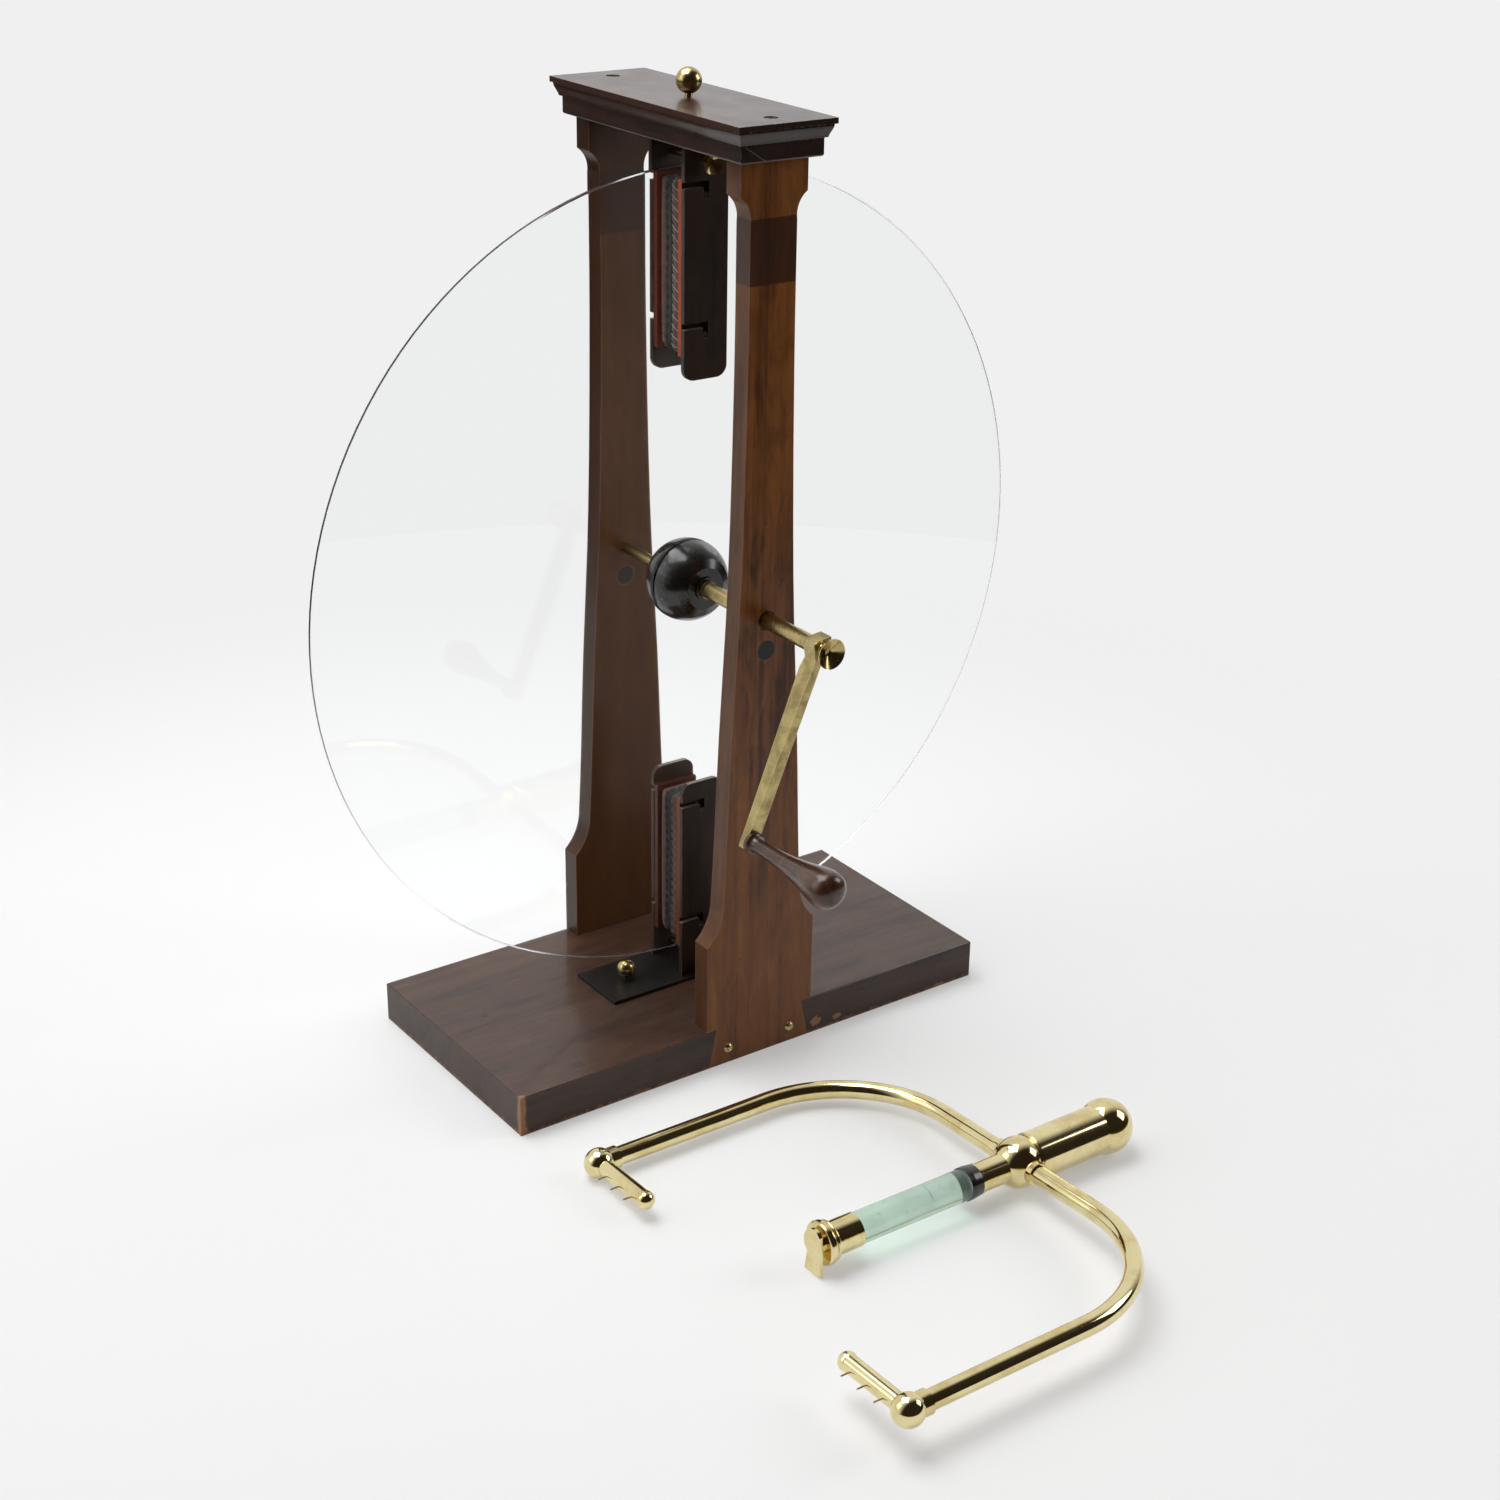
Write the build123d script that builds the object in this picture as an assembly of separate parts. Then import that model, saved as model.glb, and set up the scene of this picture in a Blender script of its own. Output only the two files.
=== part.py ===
from build123d import *
import math
import os

# A plate electrical machine. Sizes are in millimetres and angles in degrees.
# The long side of the base runs along X, the axle runs along Y with the crank
# towards -Y, Z is up, and the origin is the middle of the underside of the base.

# Clearances
JOINT_GAP = 0.05
SEAT_GAP = 0.02
RUN_GAP = 0.05
SLIDE_GAP = 0.2
SOFT_GAP = 0.35

# Glass plate
PLATE_RADIUS = 300.0
PLATE_THICK = 4.0
PLATE_EDGE_BREAK = 0.8
RIM_TO_BASE = 18.2
RIM_TO_CORNICE = 19.5

# Base slab
BASE_LENGTH = 415.0
BASE_WIDTH = 200.0
BASE_THICK = 31.0
BASE_EDGE_BREAK = 0.8

# Pillars, with heights from the top of the base or down from the cornice
PILLAR_THICK = 16.0
TONGUE_TOP_WIDTH = 78.0
TONGUE_FLARE = 13.0
FOOT_WIDTH = 95.6
FOOT_HEIGHT = 71.0
FOOT_COVE_HEIGHT = 31.0
FOOT_COVE_SAG = 3.6
ANKLE_WIDTH = 69.0
ANKLE_LEAN = 0.07
KNEE_WIDTH = 58.0
KNEE_HEIGHT = 224.0
AXLE_LEVEL_WIDTH = 47.4
WAIST_WIDTH = 41.0
WAIST_DROP = 222.0
NECK_WIDTH = 37.6
NECK_DROP = 78.0
HEAD_WIDTH = 54.0
HEAD_HEIGHT = 22.7
HEAD_COVE_HEIGHT = 18.0
HEAD_COVE_SAG = 3.0
PLUG_RADIUS = 7.4
PLUG_DROP = 22.4
PLUG_DEPTH = 6.0
AXLE_RECESS_RADIUS = 7.5
AXLE_RECESS_DEPTH = 1.2

# Screws through the dovetails
PILLAR_SCREW_SPACING = 56.4
PILLAR_SCREW_HEIGHT = 12.2
PILLAR_SCREW_HEAD_RADIUS = 3.9
PILLAR_SCREW_HEAD_RISE = 2.6
PILLAR_SCREW_SHANK_RADIUS = 2.1
PILLAR_SCREW_LENGTH = 28.0

# Cornice
CORNICE_LENGTH = 229.8
CORNICE_WIDTH = 78.8
CORNICE_SLAB_THICK = 3.9
CORNICE_FILLET_STEP = 1.8
CORNICE_FILLET_THICK = 1.4
CORNICE_OGEE_STEP = 2.8
CORNICE_OGEE_HEIGHT = 7.6
CORNICE_OGEE_LEAN = 0.2
CORNICE_FRIEZE_STEP = 1.8
CORNICE_FRIEZE_HEIGHT = 12.5
CORNICE_FRIEZE_ROUND = 1.8
CORNICE_SCREW_INSET = 5.6
CORNICE_SCREW_HEAD_RADIUS = 5.0
CORNICE_SCREW_HEAD_SINK = 0.6
CORNICE_SCREW_HEAD_THICK = 3.2
CORNICE_SCREW_SHANK_RADIUS = 2.2
CORNICE_SCREW_LENGTH = 45.0

# Ball terminals
TOP_BALL_RADIUS = 8.9
TOP_BALL_NECK_RADIUS = 2.6
TOP_BALL_NECK_RISE = 1.4
TOP_BALL_STEM_DEPTH = 14.0
LOWER_BALL_RADIUS = 7.1
LOWER_BALL_NECK_RADIUS = 2.2
LOWER_BALL_NECK_RISE = 1.0
LOWER_BALL_STEM_DEPTH = 12.0
LOWER_BALL_OFFSET = 54.5

# Panel on the base under the lower press
PANEL_THICK = 3.0
PANEL_WIDTH = 53.0
PANEL_LEFT = 82.0
PANEL_RIGHT = 26.0

# Spring boards
BOARD_WIDTH = 36.0
BOARD_THICK = 3.6
BOARD_LENGTH = 164.5
BOARD_TENON = 8.0
BOARD_CORNER = 8.5

# Rubbers
RUBBER_HEIGHT = 122.0
RUBBER_WIDTH = 35.0
RUBBER_BACK_THICK = 4.6
CUSHION_THICK = 11.2
CUSHION_CROWN = 2.0
CUSHION_DRAW_IN = 1.3
CUSHION_MARGIN = 0.6
CUSHION_CORNER = 4.0
CUSHION_WAIST_SHARE = 0.4
CUSHION_SHOULDER_SHARE = 0.8
CUSHION_SHOULDER_INSET = 0.2
CUSHION_LIP_INSET = 0.7
CUSHION_BROW_SHARE = 0.6
CUSHION_BROW_INSET = 3.0
CUSHION_FACE_INSET = 8.0
UPPER_RUBBER_DROP = 25.7
LOWER_RUBBER_RISE = 29.5

# Pegs and slots
PEG_RADIUS = 2.0
PEG_PITCH = 96.5
PEG_INSET = 14.5
PEG_SEAT_DEPTH = 3.0
PEG_END_INSET = 0.3
SLOT_LIFT = 7.2

# Clamps
CLAMP_BOLT_RADIUS = 2.6
CLAMP_TO_RIM = 5.8
CLAMP_HEAD_RADIUS = 5.0
CLAMP_HEAD_THICK = 2.6
CLAMP_HEAD_CHAMFER = 1.0
CLAMP_COLLAR_RADIUS = 4.4
CLAMP_COLLAR_THICK = 3.0
CLAMP_BOLT_END = 2.6
CLAMP_KNOB_RADIUS = 8.3
CLAMP_KNOB_LENGTH = 8.0
CLAMP_KNOB_NECK = 4.0
CLAMP_KNOB_DISH = 4.0
KNOB_LIP = 0.8
KNOB_NECK_SHARE = 0.92
KNOB_NECK_AT = 0.34
KNOB_FLARE_SHARE = 0.3
KNOB_FLARE_AT = 0.68

# Hub cheeks, cut from a ball
HUB_RADIUS = 30.6
HUB_HALF_LENGTH = 24.6
HUB_NOSE_RADIUS = 15.5
HUB_SEAM_BREAK = 1.3
HUB_COLLAR_RADIUS = 8.8
HUB_COLLAR_THICK = 1.8

# Axle
AXLE_RADIUS = 5.9
AXLE_REAR_RADIUS = 4.0
AXLE_STEP_OFFSET = 12.0
AXLE_REAR_DEPTH = 10.0
AXLE_BEAD_RADIUS = 6.6
AXLE_BEAD_LENGTH = 2.4
AXLE_GROOVE_RADIUS = 5.2
AXLE_GROOVE_LENGTH = 0.8
AXLE_TENON_RADIUS = 3.6
AXLE_THREAD_RADIUS = 2.6
AXLE_END_SINK = 1.4
PILLAR_TO_BOSS = 54.0

# Crank
CRANK_RADIUS = 143.0
CRANK_ANGLE = 22.5
BOSS_WIDTH = 15.0
BOSS_LENGTH = 12.0
BOSS_TURN = 30.0
ARM_TOP_WIDTH = 5.8
ARM_END_WIDTH = 10.6
ARM_HEEL = 2.0
ARM_HEEL_DISTANCE = 18.0
ARM_END_THICK = 6.2
ARM_END_INSET = 2.8
ARM_TIP = 5.6
CRANK_NUT_RADIUS = 11.0
CRANK_NUT_LENGTH = 10.0
CRANK_NUT_NECK = 4.8
CRANK_NUT_DISH = 4.4

# Handle
SPINDLE_RADIUS = 2.6
SPINDLE_REACH = 78.0
GRIP_LENGTH = 96.0
GRIP_COLLAR_RADIUS = 8.0
GRIP_COLLAR_LENGTH = 3.0
GRIP_COLLAR_LEAN = 0.4
GRIP_NECK_RADIUS = 5.3
GRIP_NECK_AT = 12.0
GRIP_BULB_RADIUS = 11.7
GRIP_BULB_AT = 70.0
GRIP_GAP = 0.3

# Conductor, lying on the floor beside the machine on its foot, cap and one comb
CONDUCTOR_OFFSET = 348.0
CONDUCTOR_BALL_X = 42.6
CONDUCTOR_YAW = -0.5
CAP_RADIUS = 20.1
CAP_DISTANCE = 80.5
BARREL_RADIUS = 17.6
BARREL_START = 9.0
BARREL_EDGE_ROUND = 1.5
CENTRE_BALL_RADIUS = 18.3
ARM_SPREAD = 172.5
ARM_BEND_RADIUS = 93.0
ARM_TUBE_RADIUS = 6.75
ARM_REACH = 232.5
ARM_RING_RADIUS = 8.3
ARM_RING_LENGTH = 3.0
COMB_BALL_RADIUS = 10.9
COMB_BAR_LENGTH = 59.0
COMB_BAR_RADIUS = 6.1
COMB_END_BALL_RADIUS = 6.6
COMB_PIN_RADIUS = 0.6
COMB_PIN_LENGTH = 6.0
COMB_PIN_SEAT = 2.0
COMB_PIN_FIRST = 18.0
COMB_PIN_PITCH = 16.0
COMB_PIN_COUNT = 3
FERRULE_RADIUS = 10.5
FERRULE_LENGTH = 39.0
FERRULE_LIP_RADIUS = 11.1
FERRULE_LIP_LENGTH = 2.0
ROD_RADIUS = 11.2
ROD_SOCKET_DEPTH = 15.0
ROD_COLLAR_RADIUS = 11.9
ROD_COLLAR_LENGTH = 10.5
ROD_COLLAR_SOCKET = 4.0
ROD_LENGTH = 111.0
FOOT_SLEEVE_RADIUS = 12.0
FOOT_SLEEVE_LENGTH = 19.5
FOOT_GROOVE_RADIUS = 11.4
FOOT_GROOVE_LENGTH = 0.9
FOOT_BEAD_RADIUS = 14.2
FOOT_BEAD_LENGTH = 2.6
FOOT_BEAD_ROUND = 0.45
FOOT_FLANGE_RADIUS = 15.6
FOOT_FLANGE_LENGTH = 5.4
FOOT_FLANGE_ROUND = 0.3
FOOT_NECK_RADIUS = 6.5
FOOT_SLOT = 3.2
FOOT_PLATE_THICK = 2.6
FOOT_PLATE_WIDTH = 17.2
FOOT_PLATE_ABOVE = 13.8
FOOT_PLATE_LOBE = 9.2
FOOT_PLATE_WAIST = 3.4

# Levels and planes that follow from the sizes above
axle_z = BASE_THICK + RIM_TO_BASE + PLATE_RADIUS
cornice_z = axle_z + PLATE_RADIUS + RIM_TO_CORNICE
cornice_thick = (CORNICE_FRIEZE_HEIGHT + CORNICE_OGEE_HEIGHT
                 + CORNICE_FILLET_THICK + CORNICE_SLAB_THICK)
front_y = -BASE_WIDTH / 2
rear_y = BASE_WIDTH / 2
glass_y = PLATE_THICK / 2
cushion_y = glass_y + SOFT_GAP
back_y = cushion_y + CUSHION_THICK
board_y = back_y + RUBBER_BACK_THICK + SLIDE_GAP
board_outer_y = board_y + BOARD_THICK
panel_top = BASE_THICK + PANEL_THICK
upper_rubber_z = cornice_z - UPPER_RUBBER_DROP - RUBBER_HEIGHT
lower_rubber_z = BASE_THICK + LOWER_RUBBER_RISE
upper_clamp_z = axle_z + PLATE_RADIUS + CLAMP_TO_RIM
lower_clamp_z = axle_z - PLATE_RADIUS - CLAMP_TO_RIM
boss_y = front_y - PILLAR_TO_BOSS
boss_front_y = boss_y - BOSS_LENGTH
conductor_roll = math.asin((CAP_RADIUS - COMB_BALL_RADIUS) / ARM_SPREAD)


def facing_front(x, y, z):
    """Plane that looks at the crank side: X to the right, Z up, normal along -Y."""
    return Plane(origin=(x, y, z), x_dir=(1, 0, 0), z_dir=(0, -1, 0))


def facing_rear(x, y, z):
    """The same plane with its normal along +Y."""
    return Plane(origin=(x, y, z), x_dir=(-1, 0, 0), z_dir=(0, 1, 0))


def turned(outline):
    """Solid of revolution about local Z from an outline of (radius, height)."""
    if isinstance(outline, list):
        outline = Polyline(outline, close=True)
    return revolve(Plane.XZ * make_face(outline), Axis.Z)


def rod(radius, start, end):
    """Cylinder along local Z between two heights."""
    return Pos(0, 0, start) * Cylinder(
        radius, end - start, align=(Align.CENTER, Align.CENTER, Align.MIN))


def rounded_disc(radius, start, end, round_share):
    """Disc along local Z, its edges rounded by a share of its thickness."""
    disc = rod(radius, start, end)
    return fillet(disc.edges().filter_by(GeomType.CIRCLE), (end - start) * round_share)


def extruded(plane, face, depth):
    """Extrusion of a face drawn in plane, along its normal for a positive depth."""
    return extrude(plane * face, depth, dir=plane.z_dir)


def trapezium(top_width, bottom_width, bottom, top):
    return make_face(Polyline(
        (-bottom_width / 2, bottom), (bottom_width / 2, bottom),
        (top_width / 2, top), (-top_width / 2, top), close=True))


def pillar_face():
    """Front outline of a pillar: dovetail tongue, foot, tapering leg, neck and head."""
    shoulder_z = BASE_THICK
    foot_z = shoulder_z + FOOT_HEIGHT
    ankle_z = foot_z + FOOT_COVE_HEIGHT
    neck_z = cornice_z - NECK_DROP
    head_z = cornice_z - HEAD_HEIGHT
    cove_z = head_z - HEAD_COVE_HEIGHT
    foot = FOOT_WIDTH / 2
    ankle = ANKLE_WIDTH / 2
    neck = NECK_WIDTH / 2
    head = HEAD_WIDTH / 2
    tongue_top = TONGUE_TOP_WIDTH / 2
    tongue_bottom = tongue_top + TONGUE_FLARE / 2
    half = Polyline((0, 0), (tongue_bottom, 0), (tongue_top, shoulder_z),
                    (foot, shoulder_z), (foot, foot_z))
    half += SagittaArc((foot, foot_z), (ankle, ankle_z), FOOT_COVE_SAG)
    half += Spline((ankle, ankle_z),
                   (KNEE_WIDTH / 2, shoulder_z + KNEE_HEIGHT),
                   (AXLE_LEVEL_WIDTH / 2, axle_z),
                   (WAIST_WIDTH / 2, cornice_z - WAIST_DROP),
                   (neck, neck_z),
                   tangents=[(-ANKLE_LEAN, 1), (0, 1)])
    half += Line((neck, neck_z), (neck, cove_z))
    half += SagittaArc((neck, cove_z), (head, head_z), HEAD_COVE_SAG)
    half += Polyline((head, head_z), (head, cornice_z), (0, cornice_z))
    return make_face(half + mirror(half, Plane.YZ))


def pillar(outer_plane, bore_radius, bore_depth, recess):
    """Pillar behind outer_plane, with its bore from the inner face and its plug hole."""
    body = extruded(outer_plane, pillar_face(), -PILLAR_THICK)
    inner = outer_plane.offset(-PILLAR_THICK)
    body -= inner * Pos(0, axle_z, 0) * rod(bore_radius + RUN_GAP, 0, bore_depth)
    if recess:
        body -= outer_plane * Pos(0, axle_z, 0) * rod(
            AXLE_RECESS_RADIUS, -AXLE_RECESS_DEPTH, 0)
    body -= plug_place(outer_plane, recess) * rod(PLUG_RADIUS, -PLUG_DEPTH, 0)
    for x in screw_offsets():
        body -= outer_plane * Pos(x, PILLAR_SCREW_HEIGHT, 0) * rod(
            PILLAR_SCREW_SHANK_RADIUS, -PILLAR_THICK, 0)
    body -= cornice_screw_cut(outer_plane)
    return body


def plug_place(outer_plane, outside):
    """Plane of a plug's flush face, on the outer or the inner face of the pillar."""
    if outside:
        return outer_plane * Pos(0, axle_z - PLUG_DROP, 0)
    inner = outer_plane.offset(-PILLAR_THICK)
    return inner * Pos(0, axle_z - PLUG_DROP, 0) * Rot(0, 180, 0)


def screw_offsets():
    return (-PILLAR_SCREW_SPACING / 2, PILLAR_SCREW_SPACING / 2)


def cornice_screw_cut(outer_plane):
    y = outer_plane.origin.Y
    inset = math.copysign(CORNICE_SCREW_INSET, y)
    return Pos(0, y - inset, 0) * rod(
        CORNICE_SCREW_SHANK_RADIUS,
        cornice_z + cornice_thick - CORNICE_SCREW_LENGTH - CORNICE_SCREW_HEAD_SINK, cornice_z)


front_plane = facing_front(0, front_y, 0)
rear_plane = facing_rear(0, rear_y, 0)


def make_base():
    slab = Pos(0, 0, BASE_THICK / 2) * Box(BASE_LENGTH, BASE_WIDTH, BASE_THICK)
    slab = chamfer(slab.edges().group_by(Axis.Z)[-1], BASE_EDGE_BREAK)
    tongue = trapezium(TONGUE_TOP_WIDTH + 2 * JOINT_GAP,
                       TONGUE_TOP_WIDTH + TONGUE_FLARE + 2 * JOINT_GAP, 0, BASE_THICK)
    for plane in (front_plane, rear_plane):
        slab -= extruded(plane, tongue, -PILLAR_THICK - JOINT_GAP)
        for x in screw_offsets():
            slab -= plane * Pos(x, PILLAR_SCREW_HEIGHT, 0) * rod(
                PILLAR_SCREW_SHANK_RADIUS, -PILLAR_SCREW_LENGTH, 0)
    slab -= board_pair_cut(BASE_THICK - BOARD_TENON, BASE_THICK)
    slab -= Pos(-LOWER_BALL_OFFSET, 0, 0) * rod(
        LOWER_BALL_NECK_RADIUS, panel_top - LOWER_BALL_STEM_DEPTH, BASE_THICK)
    return slab


def board_pair_cut(bottom, top):
    """The two mortises that hold the tenons of a pair of boards."""
    cut = []
    for side in (-1, 1):
        y = side * (board_y + BOARD_THICK / 2)
        cut.append(Pos(0, y, (bottom + top) / 2) * Box(
            BOARD_WIDTH + 2 * SEAT_GAP, BOARD_THICK + 2 * SEAT_GAP, top - bottom))
    return cut


def make_panel():
    length = PANEL_LEFT + PANEL_RIGHT
    panel = Pos((PANEL_RIGHT - PANEL_LEFT) / 2, 0, BASE_THICK + PANEL_THICK / 2) * Box(
        length, PANEL_WIDTH, PANEL_THICK)
    panel -= board_pair_cut(BASE_THICK, panel_top)
    panel -= Pos(-LOWER_BALL_OFFSET, 0, 0) * rod(
        LOWER_BALL_NECK_RADIUS, BASE_THICK, panel_top)
    return panel


def cornice_outline(half):
    """Half of the moulded section, from the underside up, for a slab reaching half."""
    slab_z = cornice_thick - CORNICE_SLAB_THICK
    fillet_z = slab_z - CORNICE_FILLET_THICK
    fillet = half - CORNICE_FILLET_STEP
    ogee = fillet - CORNICE_OGEE_STEP
    frieze = ogee - CORNICE_FRIEZE_STEP
    round_edge = CORNICE_FRIEZE_ROUND
    middle = ((fillet + ogee) / 2, (fillet_z + CORNICE_FRIEZE_HEIGHT) / 2)
    edge = Line((0, 0), (frieze - round_edge, 0))
    edge += RadiusArc((frieze - round_edge, 0), (frieze, round_edge), -round_edge)
    edge += Polyline((frieze, round_edge), (frieze, CORNICE_FRIEZE_HEIGHT),
                     (ogee, CORNICE_FRIEZE_HEIGHT))
    edge += Spline((ogee, CORNICE_FRIEZE_HEIGHT), middle, (fillet, fillet_z),
                   tangents=[(CORNICE_OGEE_LEAN, 1), (CORNICE_OGEE_LEAN, 1)])
    edge += Polyline((fillet, fillet_z), (fillet, slab_z), (half, slab_z),
                     (half, cornice_thick), (0, cornice_thick))
    return make_face(edge + mirror(edge, Plane.YZ))


def make_cornice():
    """Two mouldings run square to each other, kept where they meet, so corners mitre."""
    half_length = CORNICE_LENGTH / 2
    half_width = CORNICE_WIDTH / 2
    along = extruded(facing_front(0, half_length + cornice_thick, cornice_z),
                     cornice_outline(half_width), CORNICE_LENGTH + 2 * cornice_thick)
    side = Plane(origin=(-half_width - cornice_thick, 0, cornice_z),
                 x_dir=(0, 1, 0), z_dir=(1, 0, 0))
    across = extruded(side, cornice_outline(half_length), CORNICE_WIDTH + 2 * cornice_thick)
    body = along & across
    top = cornice_z + cornice_thick
    for y in cornice_screw_ys():
        body -= Pos(0, y, 0) * rod(
            CORNICE_SCREW_HEAD_RADIUS, top - CORNICE_SCREW_HEAD_SINK, top)
        body -= Pos(0, y, top - CORNICE_SCREW_HEAD_SINK) * screw_body()
    body -= rod(TOP_BALL_NECK_RADIUS, top - TOP_BALL_STEM_DEPTH, top)
    body -= board_pair_cut(cornice_z, cornice_z + BOARD_TENON)
    return body


def cornice_screw_ys():
    reach = BASE_WIDTH / 2 - CORNICE_SCREW_INSET
    return (-reach, reach)


def screw_body():
    """Countersunk screw hanging below local zero."""
    cone = CORNICE_SCREW_HEAD_THICK
    return turned([(0, 0), (CORNICE_SCREW_HEAD_RADIUS, 0),
                   (CORNICE_SCREW_SHANK_RADIUS, -cone),
                   (CORNICE_SCREW_SHANK_RADIUS, -CORNICE_SCREW_LENGTH),
                   (0, -CORNICE_SCREW_LENGTH)])


def make_cornice_screws():
    top = cornice_z + cornice_thick - CORNICE_SCREW_HEAD_SINK
    return [Pos(0, y, top) * screw_body() for y in cornice_screw_ys()]


def make_pillar_screws():
    head = PILLAR_SCREW_HEAD_RADIUS
    dome = Polyline([(0, PILLAR_SCREW_HEAD_RISE), (0, -PILLAR_SCREW_LENGTH),
                     (PILLAR_SCREW_SHANK_RADIUS, -PILLAR_SCREW_LENGTH),
                     (PILLAR_SCREW_SHANK_RADIUS, 0), (head, 0)])
    bulge = (head ** 2 + PILLAR_SCREW_HEAD_RISE ** 2) / (2 * PILLAR_SCREW_HEAD_RISE)
    dome += RadiusArc((head, 0), (0, PILLAR_SCREW_HEAD_RISE), -bulge)
    screw = turned(dome)
    return [plane * Pos(x, PILLAR_SCREW_HEIGHT, 0) * screw
            for plane in (front_plane, rear_plane) for x in screw_offsets()]


def make_plugs():
    return [plug_place(front_plane, True) * rod(PLUG_RADIUS, -PLUG_DEPTH, 0),
            plug_place(rear_plane, False) * rod(PLUG_RADIUS, -PLUG_DEPTH, 0)]


def ball_terminal(radius, neck_radius, neck_rise, stem_depth):
    """Ball on a short neck, with its stem below local zero."""
    ball = Pos(0, 0, neck_rise + radius) * Sphere(radius)
    return ball + rod(neck_radius, -stem_depth, neck_rise + radius)


def board(outer_plane_y, root, sign, slot_zs, clamp_z):
    """Spring board from its root, sign +1 upwards or -1 downwards, with two L slots."""
    tip = root + sign * BOARD_LENGTH
    tenon = root - sign * BOARD_TENON
    low = min(tip, tenon)
    high = max(tip, tenon)
    face = Pos(0, (low + high) / 2) * Rectangle(BOARD_WIDTH, high - low)
    ends = face.vertices().sort_by(Axis.Y)
    face = fillet(ends[-2:] if sign > 0 else ends[:2], BOARD_CORNER)
    reach = PEG_RADIUS + SLIDE_GAP
    for z in slot_zs:
        along = BOARD_WIDTH / 2 + reach
        face -= Pos(reach - along / 2, z + SLOT_LIFT) * Rectangle(along, 2 * reach)
        face -= Pos(0, z + SLOT_LIFT / 2 - reach / 2) * Rectangle(
            2 * reach, SLOT_LIFT + reach)
    face -= Pos(0, clamp_z) * Circle(CLAMP_BOLT_RADIUS + RUN_GAP)
    return extruded(facing_front(0, outer_plane_y, 0), face, BOARD_THICK)


def peg_zs(rubber_z):
    return (rubber_z + PEG_INSET, rubber_z + PEG_INSET + PEG_PITCH)


def make_boards():
    """The four boards by name, front ones towards the crank."""
    pairs = {"upper": (cornice_z, -1, peg_zs(upper_rubber_z), upper_clamp_z),
             "lower": (BASE_THICK, 1, peg_zs(lower_rubber_z), lower_clamp_z)}
    made = {}
    for name, (root, sign, pegs, clamp_z) in pairs.items():
        made[name + "_front_board"] = board(-board_y, root, sign, pegs, clamp_z)
        made[name + "_rear_board"] = board(board_outer_y, root, sign, pegs, clamp_z)
    return made


def rubber_plane(side, rubber_z):
    """Plane at the glass, normal away from it, origin at the foot of the rubber."""
    if side < 0:
        return facing_front(0, 0, rubber_z)
    return facing_rear(0, 0, rubber_z)


def rubber_back():
    """Wooden back of a rubber, in the plane of its rubber, with peg sockets."""
    body = Pos(0, RUBBER_HEIGHT / 2, back_y + RUBBER_BACK_THICK / 2) * Box(
        RUBBER_WIDTH, RUBBER_HEIGHT, RUBBER_BACK_THICK)
    for z in peg_zs(0):
        body -= Pos(0, z, 0) * rod(PEG_RADIUS, back_y + RUBBER_BACK_THICK - PEG_SEAT_DEPTH,
                                   back_y + RUBBER_BACK_THICK)
    return body


def rubber_pegs():
    start = back_y + RUBBER_BACK_THICK - PEG_SEAT_DEPTH
    return [Pos(0, z, 0) * rod(PEG_RADIUS, start, board_outer_y - PEG_END_INSET)
            for z in peg_zs(0)]


def cushion():
    """Stuffed cushion: waisted sides sewn down to the back and a crowned face."""
    width = RUBBER_WIDTH - 2 * CUSHION_MARGIN
    height = RUBBER_HEIGHT - 2 * CUSHION_MARGIN
    lip = CUSHION_THICK - CUSHION_CROWN
    profile = ((0, 0),
               (lip * CUSHION_WAIST_SHARE, CUSHION_DRAW_IN),
               (lip * CUSHION_SHOULDER_SHARE, CUSHION_SHOULDER_INSET),
               (lip, CUSHION_LIP_INSET),
               (lip + CUSHION_CROWN * CUSHION_BROW_SHARE, CUSHION_BROW_INSET),
               (CUSHION_THICK, CUSHION_FACE_INSET))
    sections = []
    for depth, inset in profile:
        outline = RectangleRounded(width - 2 * inset, height - 2 * inset, CUSHION_CORNER)
        sections.append(Pos(0, RUBBER_HEIGHT / 2, back_y - depth) * outline)
    return loft(sections)


def trumpet(radius, length, neck, dish, bore):
    """Thumb nut flaring away from local zero, with a dished face."""
    lip = KNOB_LIP
    edge = Polyline([(bore, length - dish), (bore, 0), (neck, 0)])
    edge += Spline([(neck, 0), (neck * KNOB_NECK_SHARE, length * KNOB_NECK_AT),
                    (neck + (radius - neck) * KNOB_FLARE_SHARE, length * KNOB_FLARE_AT),
                    (radius, length - lip)])
    edge += Line((radius, length - lip), (radius, length))
    edge += Line((radius, length), (bore, length - dish))
    return turned(edge)


def clamp_bolt():
    """Bolt through a pair of boards, along local Z from the rear board forwards."""
    collar_end = board_outer_y + board_y
    collar_start = collar_end - CLAMP_COLLAR_THICK
    end = 2 * board_outer_y + CLAMP_BOLT_END
    return turned([(0, -CLAMP_HEAD_THICK),
                   (CLAMP_HEAD_RADIUS - CLAMP_HEAD_CHAMFER, -CLAMP_HEAD_THICK),
                   (CLAMP_HEAD_RADIUS, CLAMP_HEAD_CHAMFER - CLAMP_HEAD_THICK),
                   (CLAMP_HEAD_RADIUS, 0), (CLAMP_BOLT_RADIUS, 0),
                   (CLAMP_BOLT_RADIUS, collar_start), (CLAMP_COLLAR_RADIUS, collar_start),
                   (CLAMP_COLLAR_RADIUS, collar_end), (CLAMP_BOLT_RADIUS, collar_end),
                   (CLAMP_BOLT_RADIUS, end), (0, end)])


def make_clamp_knob():
    return trumpet(CLAMP_KNOB_RADIUS, CLAMP_KNOB_LENGTH, CLAMP_KNOB_NECK,
                   CLAMP_KNOB_DISH, CLAMP_BOLT_RADIUS + RUN_GAP)


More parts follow.
